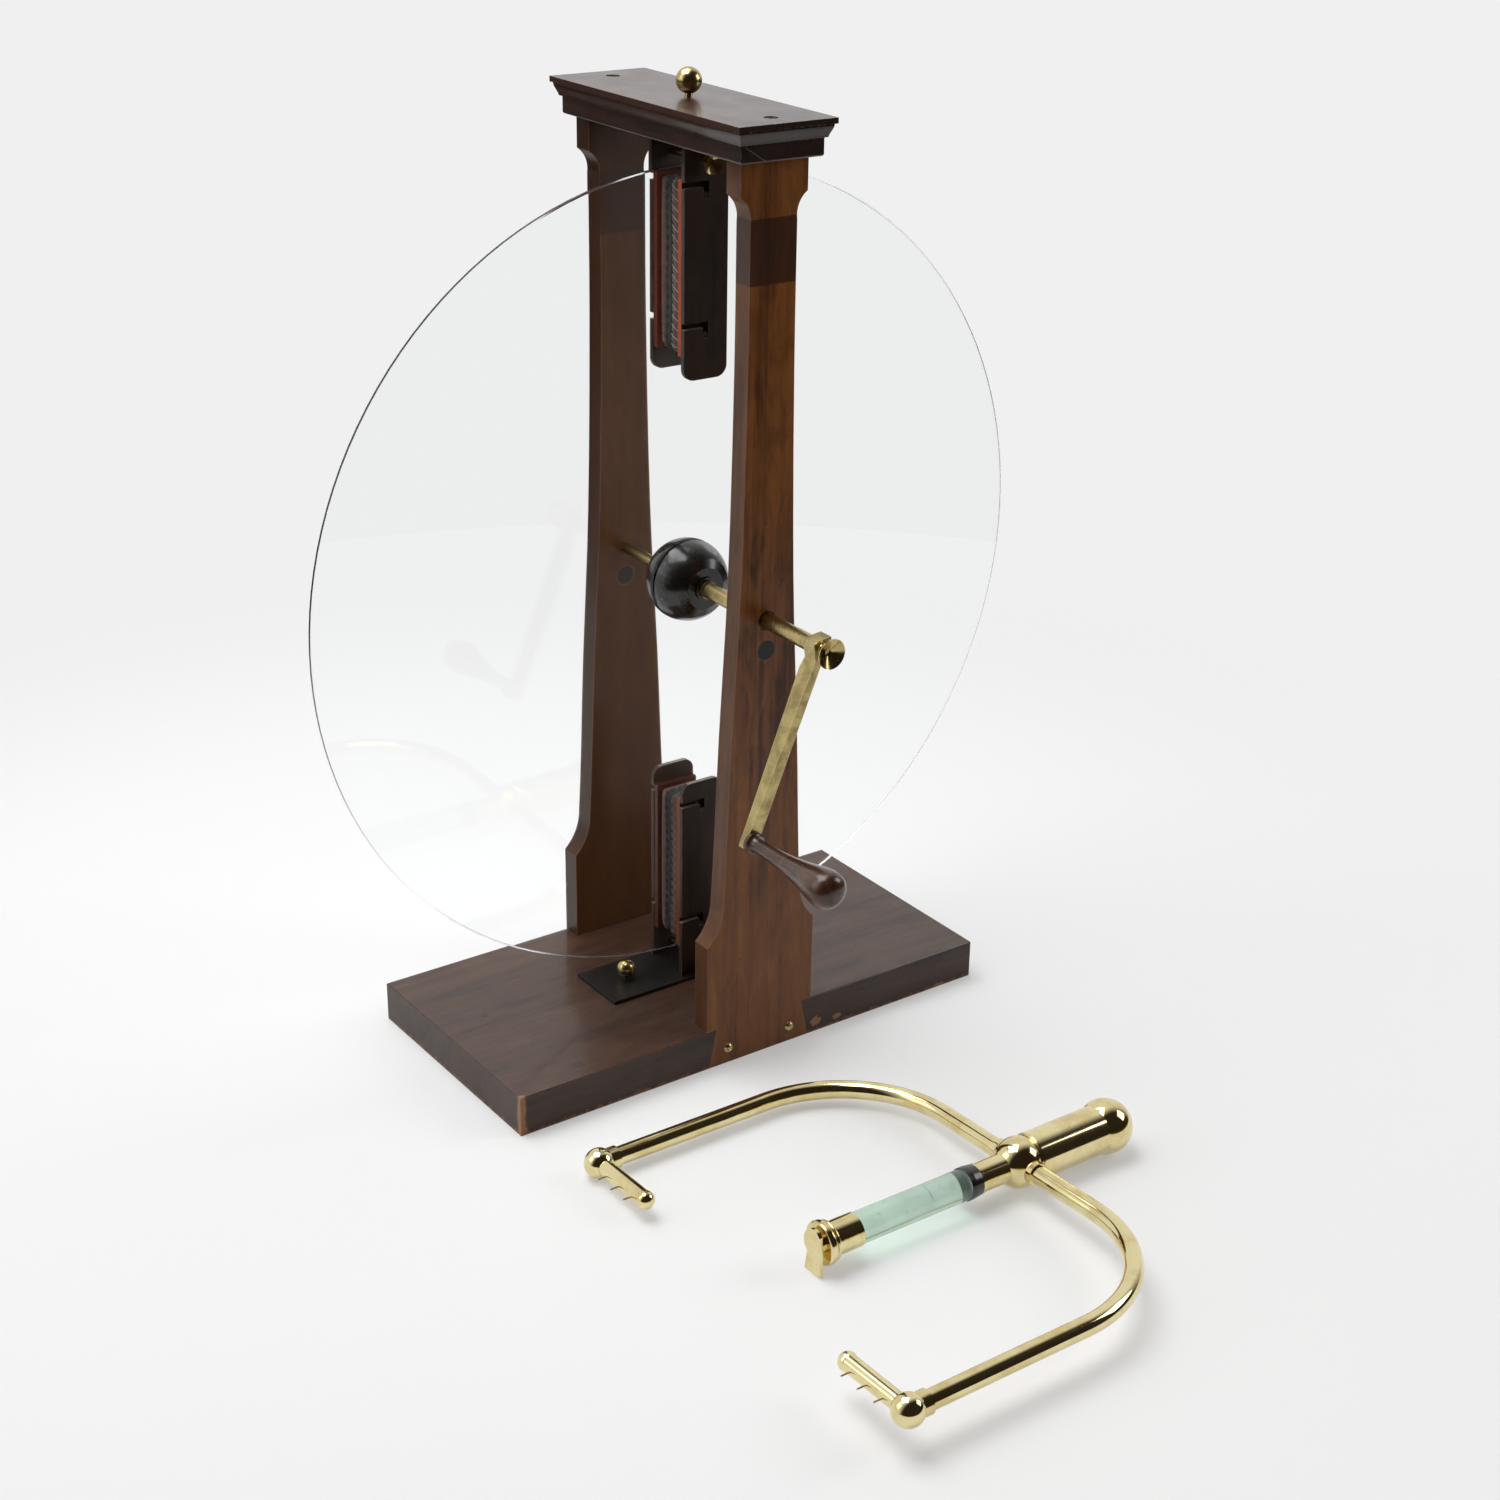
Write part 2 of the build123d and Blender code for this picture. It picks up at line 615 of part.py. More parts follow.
def make_plate():
    disc = rod(PLATE_RADIUS, -PLATE_THICK / 2, PLATE_THICK / 2)
    disc = chamfer(disc.edges().filter_by(GeomType.CIRCLE), PLATE_EDGE_BREAK)
    disc -= rod(AXLE_RADIUS + SEAT_GAP, -PLATE_THICK / 2, PLATE_THICK / 2)
    return disc


def hub_cheek(bore_radius, start):
    """Half of the ebonised ball, from the glass outwards along local Z."""
    seam = math.sqrt(HUB_RADIUS ** 2 - (start + HUB_SEAM_BREAK) ** 2)
    nose_z = HUB_HALF_LENGTH - (HUB_RADIUS - HUB_HALF_LENGTH) / 2
    nose = math.sqrt(HUB_RADIUS ** 2 - nose_z ** 2)
    mid_z = (start + nose_z) / 2
    middle = math.sqrt(HUB_RADIUS ** 2 - mid_z ** 2)
    edge = Polyline([(nose, nose_z), (HUB_NOSE_RADIUS, HUB_HALF_LENGTH),
                     (bore_radius, HUB_HALF_LENGTH), (bore_radius, start),
                     (seam - HUB_SEAM_BREAK, start), (seam, start + HUB_SEAM_BREAK)])
    edge += ThreePointArc((seam, start + HUB_SEAM_BREAK), (middle, mid_z),
                          (nose, nose_z))
    return turned(edge)


def stepped_cheek():
    """Rear cheek, bored for the step where the axle narrows."""
    cheek = hub_cheek(AXLE_REAR_RADIUS + SEAT_GAP, glass_y)
    return cheek - rod(AXLE_RADIUS + SEAT_GAP, glass_y, AXLE_STEP_OFFSET)


def make_collar():
    start = HUB_HALF_LENGTH
    return (rod(HUB_COLLAR_RADIUS, start, start + HUB_COLLAR_THICK)
            - rod(AXLE_RADIUS + SEAT_GAP, start, start + HUB_COLLAR_THICK))


def make_axle():
    """Axle along local Z from the rear pillar's blind bore to the crank nut."""
    rear = -(rear_y - PILLAR_THICK + AXLE_REAR_DEPTH)
    step = -AXLE_STEP_OFFSET
    bead = HUB_HALF_LENGTH + HUB_COLLAR_THICK
    groove = bead + AXLE_BEAD_LENGTH
    plain = groove + AXLE_GROOVE_LENGTH
    boss = -boss_y
    thread = -boss_front_y
    end = thread + CRANK_NUT_LENGTH - CRANK_NUT_DISH - AXLE_END_SINK
    return turned([(0, rear), (AXLE_REAR_RADIUS, rear), (AXLE_REAR_RADIUS, step),
                   (AXLE_RADIUS, step), (AXLE_RADIUS, bead), (AXLE_BEAD_RADIUS, bead),
                   (AXLE_BEAD_RADIUS, groove), (AXLE_GROOVE_RADIUS, groove),
                   (AXLE_GROOVE_RADIUS, plain), (AXLE_RADIUS, plain), (AXLE_RADIUS, boss),
                   (AXLE_TENON_RADIUS, boss), (AXLE_TENON_RADIUS, thread),
                   (AXLE_THREAD_RADIUS, thread), (AXLE_THREAD_RADIUS, end), (0, end)])


def crank_place(distance):
    """Place on the rear face of the boss, local -Y running down the arm."""
    return (facing_front(0, boss_y, axle_z) * Rot(0, 0, -CRANK_ANGLE)
            * Pos(0, -distance, 0))


def make_crank_arm():
    """Square boss and a tapering arm: front outline and side outline, kept in common."""
    boss = Rot(0, 0, BOSS_TURN) * Pos(0, 0, BOSS_LENGTH / 2) * Box(
        BOSS_WIDTH, BOSS_WIDTH, BOSS_LENGTH)
    end = CRANK_RADIUS + ARM_TIP
    front = make_face(Polyline(
        (-ARM_TOP_WIDTH / 2, 0), (ARM_TOP_WIDTH / 2, 0),
        (ARM_END_WIDTH / 2, -end), (-ARM_END_WIDTH / 2, -end), close=True))
    side = make_face(Polyline(
        (0, 0), (-BOSS_WIDTH / 2, 0), (-ARM_HEEL_DISTANCE, -ARM_HEEL),
        (-end, ARM_END_INSET), (-end, ARM_END_INSET + ARM_END_THICK),
        (0, BOSS_LENGTH), close=True))
    across = Plane(origin=(-BOSS_WIDTH, 0, 0), x_dir=(0, 1, 0), z_dir=(1, 0, 0))
    arm = (extruded(Plane.XY.offset(-BOSS_LENGTH), front, 3 * BOSS_LENGTH)
           & extruded(across, side, 2 * BOSS_WIDTH))
    crank = boss + arm
    crank -= rod(AXLE_TENON_RADIUS, 0, BOSS_LENGTH)
    crank -= Pos(0, -CRANK_RADIUS, 0) * rod(SPINDLE_RADIUS, -BOSS_LENGTH, 2 * BOSS_LENGTH)
    return crank_place(0) * crank


arm_face = ARM_END_INSET + ARM_END_THICK + (BOSS_LENGTH - ARM_END_INSET - ARM_END_THICK) * (
    ARM_TIP / (CRANK_RADIUS + ARM_TIP))
grip_start = arm_face + GRIP_GAP


def make_spindle():
    return crank_place(CRANK_RADIUS) * rod(
        SPINDLE_RADIUS, ARM_END_INSET, grip_start + SPINDLE_REACH)


def make_grip():
    """Pear-shaped turned grip, from the arm outwards along local Z."""
    start = grip_start
    bore = SPINDLE_RADIUS + RUN_GAP
    collar_end = start + GRIP_COLLAR_LENGTH
    end = start + GRIP_LENGTH
    deep = start + SPINDLE_REACH + GRIP_GAP
    edge = Polyline([(0, end), (0, deep), (bore, deep), (bore, start),
                     (GRIP_COLLAR_RADIUS, start), (GRIP_COLLAR_RADIUS, collar_end)])
    edge += Spline([(GRIP_COLLAR_RADIUS, collar_end),
                    (GRIP_NECK_RADIUS, start + GRIP_NECK_AT),
                    (GRIP_BULB_RADIUS, start + GRIP_BULB_AT), (0, end)],
                   tangents=[(-1, GRIP_COLLAR_LEAN), (-1, 0)])
    return crank_place(CRANK_RADIUS) * turned(edge)


def across_conductor(x, y):
    """Plane across the conductor's own X axis, which starts at its centre ball."""
    return Plane(origin=(x, y, 0), x_dir=(0, 1, 0), z_dir=(1, 0, 0))


conductor_axis = across_conductor(0, 0)
ferrule_start = -FERRULE_LENGTH
collar_start = ferrule_start - ROD_COLLAR_LENGTH
rod_end = collar_start + ROD_COLLAR_SOCKET
rod_start = rod_end - ROD_LENGTH
sleeve_end = rod_start + ROD_SOCKET_DEPTH


def make_foot():
    """Ferrule, mouldings and flange, then a neck and the hook plate beyond the slot.

    The plate ends where its corner meets the floor, with the conductor rolled.
    """
    sleeve = sleeve_end - FOOT_SLEEVE_LENGTH
    bead_top = sleeve - FOOT_GROOVE_LENGTH
    bead = bead_top - FOOT_BEAD_LENGTH
    flange_top = bead - FOOT_GROOVE_LENGTH
    flange = flange_top - FOOT_FLANGE_LENGTH
    plate = flange - FOOT_SLOT
    back = plate - FOOT_PLATE_THICK
    body = turned([(0, plate), (FOOT_NECK_RADIUS, plate), (FOOT_NECK_RADIUS, flange_top),
                   (FOOT_GROOVE_RADIUS, flange_top), (FOOT_GROOVE_RADIUS, sleeve),
                   (FOOT_SLEEVE_RADIUS, sleeve), (FOOT_SLEEVE_RADIUS, sleeve_end),
                   (ROD_RADIUS + SEAT_GAP, sleeve_end),
                   (ROD_RADIUS + SEAT_GAP, rod_start), (0, rod_start)])
    body += rounded_disc(FOOT_BEAD_RADIUS, bead, bead_top, FOOT_BEAD_ROUND)
    body += rounded_disc(FOOT_FLANGE_RADIUS, flange, flange_top, FOOT_FLANGE_ROUND)
    half = FOOT_PLATE_WIDTH / 2
    top = FOOT_PLATE_ABOVE
    floor = -(CAP_RADIUS - half * math.sin(conductor_roll)) / math.cos(conductor_roll)
    lobe_bottom = top - 2 * FOOT_PLATE_LOBE
    outline = Polyline((half - FOOT_PLATE_WAIST, lobe_bottom),
                       (half, floor), (-half, floor), (-half, top - FOOT_PLATE_WAIST))
    outline += Spline((-half, top - FOOT_PLATE_WAIST), (0, top),
                      (half, top - FOOT_PLATE_LOBE),
                      (half - FOOT_PLATE_WAIST, lobe_bottom))
    hook = extruded(Plane.XY.offset(back), make_face(outline), FOOT_PLATE_THICK)
    return conductor_axis * (body + hook)


def make_rod_collar():
    taper = ROD_COLLAR_RADIUS - FERRULE_LIP_RADIUS
    return conductor_axis * turned([
        (0, rod_end), (ROD_RADIUS + SEAT_GAP, rod_end),
        (ROD_RADIUS + SEAT_GAP, collar_start), (ROD_COLLAR_RADIUS, collar_start),
        (ROD_COLLAR_RADIUS, rod_end), (ROD_COLLAR_RADIUS - taper, ferrule_start),
        (0, ferrule_start)])


def make_ferrule():
    lip = ferrule_start + FERRULE_LIP_LENGTH
    body = turned([(0, ferrule_start), (FERRULE_LIP_RADIUS, ferrule_start),
                   (FERRULE_LIP_RADIUS, lip), (FERRULE_RADIUS, lip),
                   (FERRULE_RADIUS, 0), (0, 0)])
    return conductor_axis * (body - Sphere(CENTRE_BALL_RADIUS))


def seam_distance():
    """Where the cap's ball is as wide as the barrel."""
    return CAP_DISTANCE - math.sqrt(CAP_RADIUS ** 2 - BARREL_RADIUS ** 2)


def make_barrel():
    barrel = rod(BARREL_RADIUS, BARREL_START, seam_distance())
    near = barrel.edges().filter_by(GeomType.CIRCLE).sort_by(Axis.Z)[0]
    barrel = fillet(near, BARREL_EDGE_ROUND)
    return conductor_axis * (barrel - Sphere(CENTRE_BALL_RADIUS))


def make_cap():
    ball = Pos(0, 0, CAP_DISTANCE) * Sphere(CAP_RADIUS)
    return conductor_axis * (ball - rod(CAP_RADIUS, 0, seam_distance()))


def conductor_arm(side):
    """Bent tube from the centre ball out to one comb, side +1 towards the machine."""
    spread = side * ARM_SPREAD
    bend = side * (ARM_SPREAD - ARM_BEND_RADIUS)
    path = Line((0, 0, 0), (0, bend, 0))
    path += TangentArc((0, bend, 0), (-ARM_BEND_RADIUS, spread, 0), tangent=(0, side, 0))
    path += Line((-ARM_BEND_RADIUS, spread, 0), (-ARM_REACH, spread, 0))
    root = Plane(origin=(0, 0, 0), x_dir=(1, 0, 0), z_dir=(0, side, 0))
    tip = across_conductor(-ARM_REACH, spread)
    tube = sweep(root * Circle(ARM_TUBE_RADIUS), path)
    tube += root * rod(ARM_RING_RADIUS, 0, CENTRE_BALL_RADIUS + ARM_RING_LENGTH)
    tube += tip * rod(ARM_RING_RADIUS, 0, COMB_BALL_RADIUS + ARM_RING_LENGTH)
    tube -= root * Sphere(CENTRE_BALL_RADIUS)
    tube -= tip * Sphere(COMB_BALL_RADIUS)
    return tube


def comb_place(side):
    """Plane at a comb's ball, its normal along the bar towards the other comb."""
    return Plane(origin=(-ARM_REACH, side * ARM_SPREAD, 0),
                 x_dir=(-1, 0, 0), z_dir=(0, -side, 0))


def make_comb(side):
    comb = Sphere(COMB_BALL_RADIUS) + rod(COMB_BAR_RADIUS, 0, COMB_BAR_LENGTH)
    comb += Pos(0, 0, COMB_BAR_LENGTH) * Sphere(COMB_END_BALL_RADIUS)
    comb -= comb_pins()
    return comb_place(side) * comb


def comb_pins():
    """Row of pins along local X, set in the side of a comb's bar."""
    pins = []
    for index in range(COMB_PIN_COUNT):
        distance = COMB_PIN_FIRST + index * COMB_PIN_PITCH
        pins.append(Pos(0, 0, distance) * Rot(0, 90, 0) * rod(
            COMB_PIN_RADIUS, COMB_BAR_RADIUS - COMB_PIN_SEAT,
            COMB_BAR_RADIUS + COMB_PIN_LENGTH))
    return pins


def make_conductor():
    """The conductor's nodes, in its own frame."""
    return {
        "conductor_foot": make_foot(),
        "glass_rod": conductor_axis * rod(ROD_RADIUS, rod_start, rod_end),
        "rod_collar": make_rod_collar(),
        "rod_ferrule": make_ferrule(),
        "centre_ball": conductor_axis * Sphere(CENTRE_BALL_RADIUS),
        "barrel": make_barrel(),
        "barrel_cap": make_cap(),
        "left_arm": conductor_arm(1),
        "right_arm": conductor_arm(-1),
        "left_comb": make_comb(1),
        "right_comb": make_comb(-1),
        "comb_pins": [comb_place(side) * pin for side in (1, -1) for pin in comb_pins()],
    }


def lay_down(piece):
    """Put a piece of the conductor on the floor, rolled until its far comb rests there."""
    return (Pos(CONDUCTOR_BALL_X, -CONDUCTOR_OFFSET, CAP_RADIUS)
            * Rot(0, 0, CONDUCTOR_YAW) * Rot(-math.degrees(conductor_roll), 0, 0) * piece)


def solids_of(shape):
    """The solids of a node, which is one shape or a list of like ones."""
    pieces = shape if isinstance(shape, list) else [shape]
    return [solid for piece in pieces for solid in piece.solids()]


def build_all():
    """Every node by name."""
    nodes = {
        "base": make_base(),
        "front_pillar": pillar(front_plane, AXLE_RADIUS, PILLAR_THICK, True),
        "rear_pillar": pillar(rear_plane, AXLE_REAR_RADIUS, AXLE_REAR_DEPTH, False),
        "cornice": make_cornice(),
        "pillar_screws": make_pillar_screws(),
        "cornice_screws": make_cornice_screws(),
        "pillar_plugs": make_plugs(),
        "base_panel": make_panel(),
        "top_ball": Pos(0, 0, cornice_z + cornice_thick) * ball_terminal(
            TOP_BALL_RADIUS, TOP_BALL_NECK_RADIUS, TOP_BALL_NECK_RISE, TOP_BALL_STEM_DEPTH),
        "lower_ball": Pos(-LOWER_BALL_OFFSET, 0, panel_top) * ball_terminal(
            LOWER_BALL_RADIUS, LOWER_BALL_NECK_RADIUS, LOWER_BALL_NECK_RISE,
            LOWER_BALL_STEM_DEPTH),
    }
    nodes.update(make_boards())
    for name, z in (("upper", upper_clamp_z), ("lower", lower_clamp_z)):
        nodes[name + "_clamp_bolt"] = facing_front(0, board_outer_y, z) * clamp_bolt()
        nodes[name + "_clamp_knob"] = facing_front(0, -board_outer_y, z) * make_clamp_knob()
    for name, z in (("upper", upper_rubber_z), ("lower", lower_rubber_z)):
        for end, side in (("front", -1), ("rear", 1)):
            plane = rubber_plane(side, z)
            nodes[name + "_" + end + "_rubber_back"] = plane * rubber_back()
            nodes[name + "_" + end + "_rubber_pegs"] = [plane * peg for peg in rubber_pegs()]
            nodes[name + "_" + end + "_cushion"] = plane * cushion()
    axle_front = facing_front(0, 0, axle_z)
    axle_rear = facing_rear(0, 0, axle_z)
    nodes["plate"] = axle_front * make_plate()
    nodes["hub_front"] = axle_front * hub_cheek(AXLE_RADIUS + SEAT_GAP, glass_y)
    nodes["hub_rear"] = axle_rear * stepped_cheek()
    nodes["hub_collar"] = axle_front * make_collar()
    nodes["axle"] = axle_front * make_axle()
    nodes["crank_arm"] = make_crank_arm()
    nodes["crank_nut"] = facing_front(0, boss_front_y, axle_z) * trumpet(
        CRANK_NUT_RADIUS, CRANK_NUT_LENGTH, CRANK_NUT_NECK, CRANK_NUT_DISH,
        AXLE_THREAD_RADIUS)
    nodes["handle_spindle"] = make_spindle()
    nodes["handle_grip"] = make_grip()
    for name, shape in make_conductor().items():
        nodes[name] = [lay_down(solid) for solid in solids_of(shape)]
    return nodes


os.makedirs("parts", exist_ok=True)
for name, shape in build_all().items():
    export_step(Compound(children=solids_of(shape), label=name), "parts/" + name + ".step")
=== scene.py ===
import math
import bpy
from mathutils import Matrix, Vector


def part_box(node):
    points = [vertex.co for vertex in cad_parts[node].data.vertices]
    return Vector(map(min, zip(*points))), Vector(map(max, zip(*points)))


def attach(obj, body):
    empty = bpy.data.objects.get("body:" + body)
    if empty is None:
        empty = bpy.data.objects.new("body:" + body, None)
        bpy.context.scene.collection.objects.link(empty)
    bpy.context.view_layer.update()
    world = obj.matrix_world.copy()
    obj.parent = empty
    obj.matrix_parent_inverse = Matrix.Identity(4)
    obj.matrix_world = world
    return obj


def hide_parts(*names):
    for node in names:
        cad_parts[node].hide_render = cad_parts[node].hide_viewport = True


bl_info = {
    "name": "Plate Electrical Machine",
    "version": (1, 0, 0),
    "blender": (4, 5, 0),
    "location": "View3D > Sidebar > Machine",
    "description": "Finishes a plate electrical machine in polished wood, brass, glass and sewn leather",
    "category": "Object",
}

import bmesh
import bpy
from mathutils import Matrix, Vector
from mathutils.bvhtree import BVHTree

# All lengths are in metres, and every place is taken from the packed model.

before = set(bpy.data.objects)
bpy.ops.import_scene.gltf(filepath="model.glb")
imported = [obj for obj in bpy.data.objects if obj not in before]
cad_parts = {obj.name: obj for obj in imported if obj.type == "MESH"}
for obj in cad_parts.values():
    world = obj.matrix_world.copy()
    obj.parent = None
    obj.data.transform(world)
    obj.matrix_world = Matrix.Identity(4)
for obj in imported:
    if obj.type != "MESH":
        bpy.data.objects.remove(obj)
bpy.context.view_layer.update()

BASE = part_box("base")
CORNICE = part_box("cornice")
FRONT_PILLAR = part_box("front_pillar")
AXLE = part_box("axle")
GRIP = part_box("handle_grip")
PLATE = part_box("plate")


def paint(red, green, blue):
    """A colour as it is read on a screen, from 0 to 255, turned to the linear one that a shader takes."""
    shares = (channel / 255.0 for channel in (red, green, blue))
    return tuple(s / 12.92 if s <= 0.04045 else ((s + 0.055) / 1.055) ** 2.4 for s in shares)


def colour(name, description, default):
    return bpy.props.FloatVectorProperty(
        name=name, description=description, default=default, subtype="COLOR", min=0.0, max=1.0
    )


def length(name, description, default):
    return bpy.props.FloatProperty(
        name=name, description=description, default=default, unit="LENGTH", subtype="DISTANCE",
        precision=5,
    )


def share(name, description, default):
    return bpy.props.FloatProperty(
        name=name, description=description, default=default, subtype="FACTOR", min=0.0, max=1.0
    )


def angle(name, description, default):
    return bpy.props.FloatProperty(
        name=name, description=description, default=math.radians(default), subtype="ANGLE"
    )


def power(name, description, default):
    return bpy.props.FloatProperty(name=name, description=description, default=default, min=0.0)


class MachineWoods(bpy.types.PropertyGroup):
    """Colours of the woods, each as dark, middle and pale."""

    base_dark: colour("Base dark", "Darkest grain of the base", paint(40, 24, 15))
    base_mid: colour("Base", "Body colour of the base", paint(66, 42, 29))
    base_pale: colour("Base pale", "Palest grain of the base", paint(90, 62, 43))
    pillar_dark: colour("Pillar dark", "Darkest grain of the pillars", paint(66, 34, 14))
    pillar_mid: colour("Pillar", "Body colour of the pillars", paint(136, 82, 36))
    pillar_pale: colour("Pillar pale", "Palest grain of the pillars", paint(168, 108, 54))
    band: colour("Pillar band", "Dark band stained round the top of each pillar", paint(56, 31, 20))
    cornice_dark: colour("Cornice dark", "Darkest grain of the cornice", paint(30, 16, 11))
    cornice_mid: colour("Cornice", "Body colour of the cornice", paint(58, 33, 23))
    cornice_pale: colour("Cornice pale", "Palest grain of the cornice", paint(78, 48, 33))
    board_dark: colour("Board dark", "Darkest part of the spring boards", paint(26, 18, 14))
    board_mid: colour("Board", "Body colour of the spring boards", paint(46, 34, 27))
    grip_dark: colour("Grip dark", "Darkest grain of the turned grip", paint(34, 17, 9))
    grip_mid: colour("Grip", "Body colour of the turned grip", paint(80, 48, 28))
    grip_pale: colour("Grip pale", "Palest grain of the turned grip", paint(108, 70, 42))
    ebonised: colour("Ebonised wood", "Black of the hub, panel and plugs", paint(20, 18, 16))
    # On the darker rubbers this brown is also painted shade, not only soot.
    soot_and_shade_brown: colour("Sooty wood", "Red lacquer under old soot", paint(58, 36, 27))
    # Bare wood where the polish wore away, also used for painted highlights along the edges of the base and
    # pillars.
    bare_wood_and_highlight: colour("Bare wood", "Wood where the polish has worn away", paint(150, 104, 70))
    # Pale grey for scuffs, scratches and rubbed edges, also used for painted highlights along edges and
    # painted light on the boards' level faces.
    rubbed_and_highlight: colour("Rubbed edge", "Pale wear on sharp edges", paint(168, 158, 146))


class MachineMetals(bpy.types.PropertyGroup):
    """Colours of the brass, steel and glass."""

    polished: colour("Polished brass", "Brass of the conductor", paint(232, 218, 168))
    polished_deep: colour("Polished brass, deep", "Brass where it has toned", paint(204, 180, 118))
    aged: colour("Aged brass", "Brass of the crank, axle and balls", paint(186, 168, 116))
    tarnish: colour("Tarnish", "Brown film on the aged brass", paint(98, 78, 44))
    steel: colour("Dark steel", "Blued steel of the long screws", paint(52, 40, 34))
    clear_glass: colour("Clear glass", "Tint of the plate", paint(254, 255, 255))
    green_glass: colour("Green glass", "Tint of the insulating rod", paint(198, 220, 206))


class MachineRubbers(bpy.types.PropertyGroup):
    """Sizes and colours of the four stuffed and sewn rubbers."""

    face: colour("Leather", "Amalgamed leather that touches the glass", paint(88, 86, 82))
    flank: colour("Leather flank", "Side of the cushion under the threads", paint(88, 50, 36))
    thread: colour("Thread", "Waxed linen thread", paint(214, 208, 196))
    lacquer: colour("Red lacquer", "Lacquered wooden back", paint(164, 70, 34))
    stitch_pitch: length("Stitch pitch", "Distance from one stitch to the next", 0.0069)
    stitch_slant: length("Stitch slant", "How far a stitch drops on its way to the back", 0.0062)
    thread_radius: length("Thread radius", "Half the thickness of the thread", 0.00024)
    lip_radius: length("Lip radius", "Half the thickness of the turned leather edge", 0.0018)
    lip_inset: length("Lip inset", "Distance of the turned edge from the face", 0.0031)
    swell_limit: length("Swell limit", "Most that the stuffing may push the leather out", 0.0012)
    shrink: length("Shrink", "How much smaller the leather starts before it is stuffed", 0.0008)
    face_gap: length("Face gap", "Least distance from the leather to the glass", 0.0003)


class MachineView(bpy.types.PropertyGroup):
    """The photograph's camera."""

    place: bpy.props.FloatVectorProperty(
        name="Place", description="Where the camera stands", default=(-0.94593, -1.39786, 0.96971),
        subtype="XYZ", unit="LENGTH",
    )
    azimuth: angle("Azimuth", "Turn of the camera round the machine", -37.476)
    elevation: angle("Elevation", "Height of the camera over the floor", 24.204)
    roll: angle("Roll", "Tilt of the camera round its own axis", 1.632)
    lens: bpy.props.FloatProperty(
        name="Lens", description="Focal length in millimetres on a 36 millimetre sensor",
        default=58.95, min=1.0,
    )
    shift_x: bpy.props.FloatProperty(
        name="Shift X", description="Sideways shift that frames the machine", default=-0.04575
    )
    shift_y: bpy.props.FloatProperty(
        name="Shift Y", description="Upward shift that frames the machine", default=0.00259
    )


class MachineStudio(bpy.types.PropertyGroup):
    """Floor, room and lamps."""

    floor: colour("Floor", "Colour of the paper sweep", paint(240, 240, 240))
    floor_radius: length("Floor radius", "Reach of the paper round the machine", 1.15)
    glow: share("Glow", "Share of the paper's colour that doesn't depend on the lamps", 0.35)
    backdrop: colour("Backdrop", "Light that the backdrop gives to the machine", paint(206, 206, 206))
    room: colour("Room", "Unlit studio on the camera's side, which the brass reflects", paint(44, 38, 32))
    overhead_power: power("Overhead", "Power of the overhead soft box in watts", 42.0)
    side_power: power("Side", "Power of the soft box on the left in watts", 7.0)
    fill_power: power("Fill", "Power of the soft box on the right in watts", 21.0)


class Value:
    """A shader socket in a sum. Each operator adds one Math node."""

    def __init__(self, recipe, socket):
        self.recipe = recipe
        self.socket = socket

    def out(self, name):
        return Value(self.recipe, self.socket.node.outputs[name])

    def worked(self, operation, first, second=0.0):
        return self.recipe.node("ShaderNodeMath", {"operation": operation}, {0: first, 1: second})

    def __add__(self, other):
        return self.worked("ADD", self, other)

    __radd__ = __add__

    def __sub__(self, other):
        return self.worked("SUBTRACT", self, other)

    def __rsub__(self, other):
        return self.worked("SUBTRACT", other, self)

    def __mul__(self, other):
        return self.worked("MULTIPLY", self, other)

    __rmul__ = __mul__

    def __truediv__(self, other):
        return self.worked("DIVIDE", self, other)

    def __pow__(self, other):
        return self.worked("POWER", self, other)

    def __abs__(self):
        return self.worked("ABSOLUTE", self)

    def least(self, other):
        return self.worked("MINIMUM", self, other)

    def most(self, other):
        return self.worked("MAXIMUM", self, other)

    def sine(self):
        return self.worked("SINE", self)


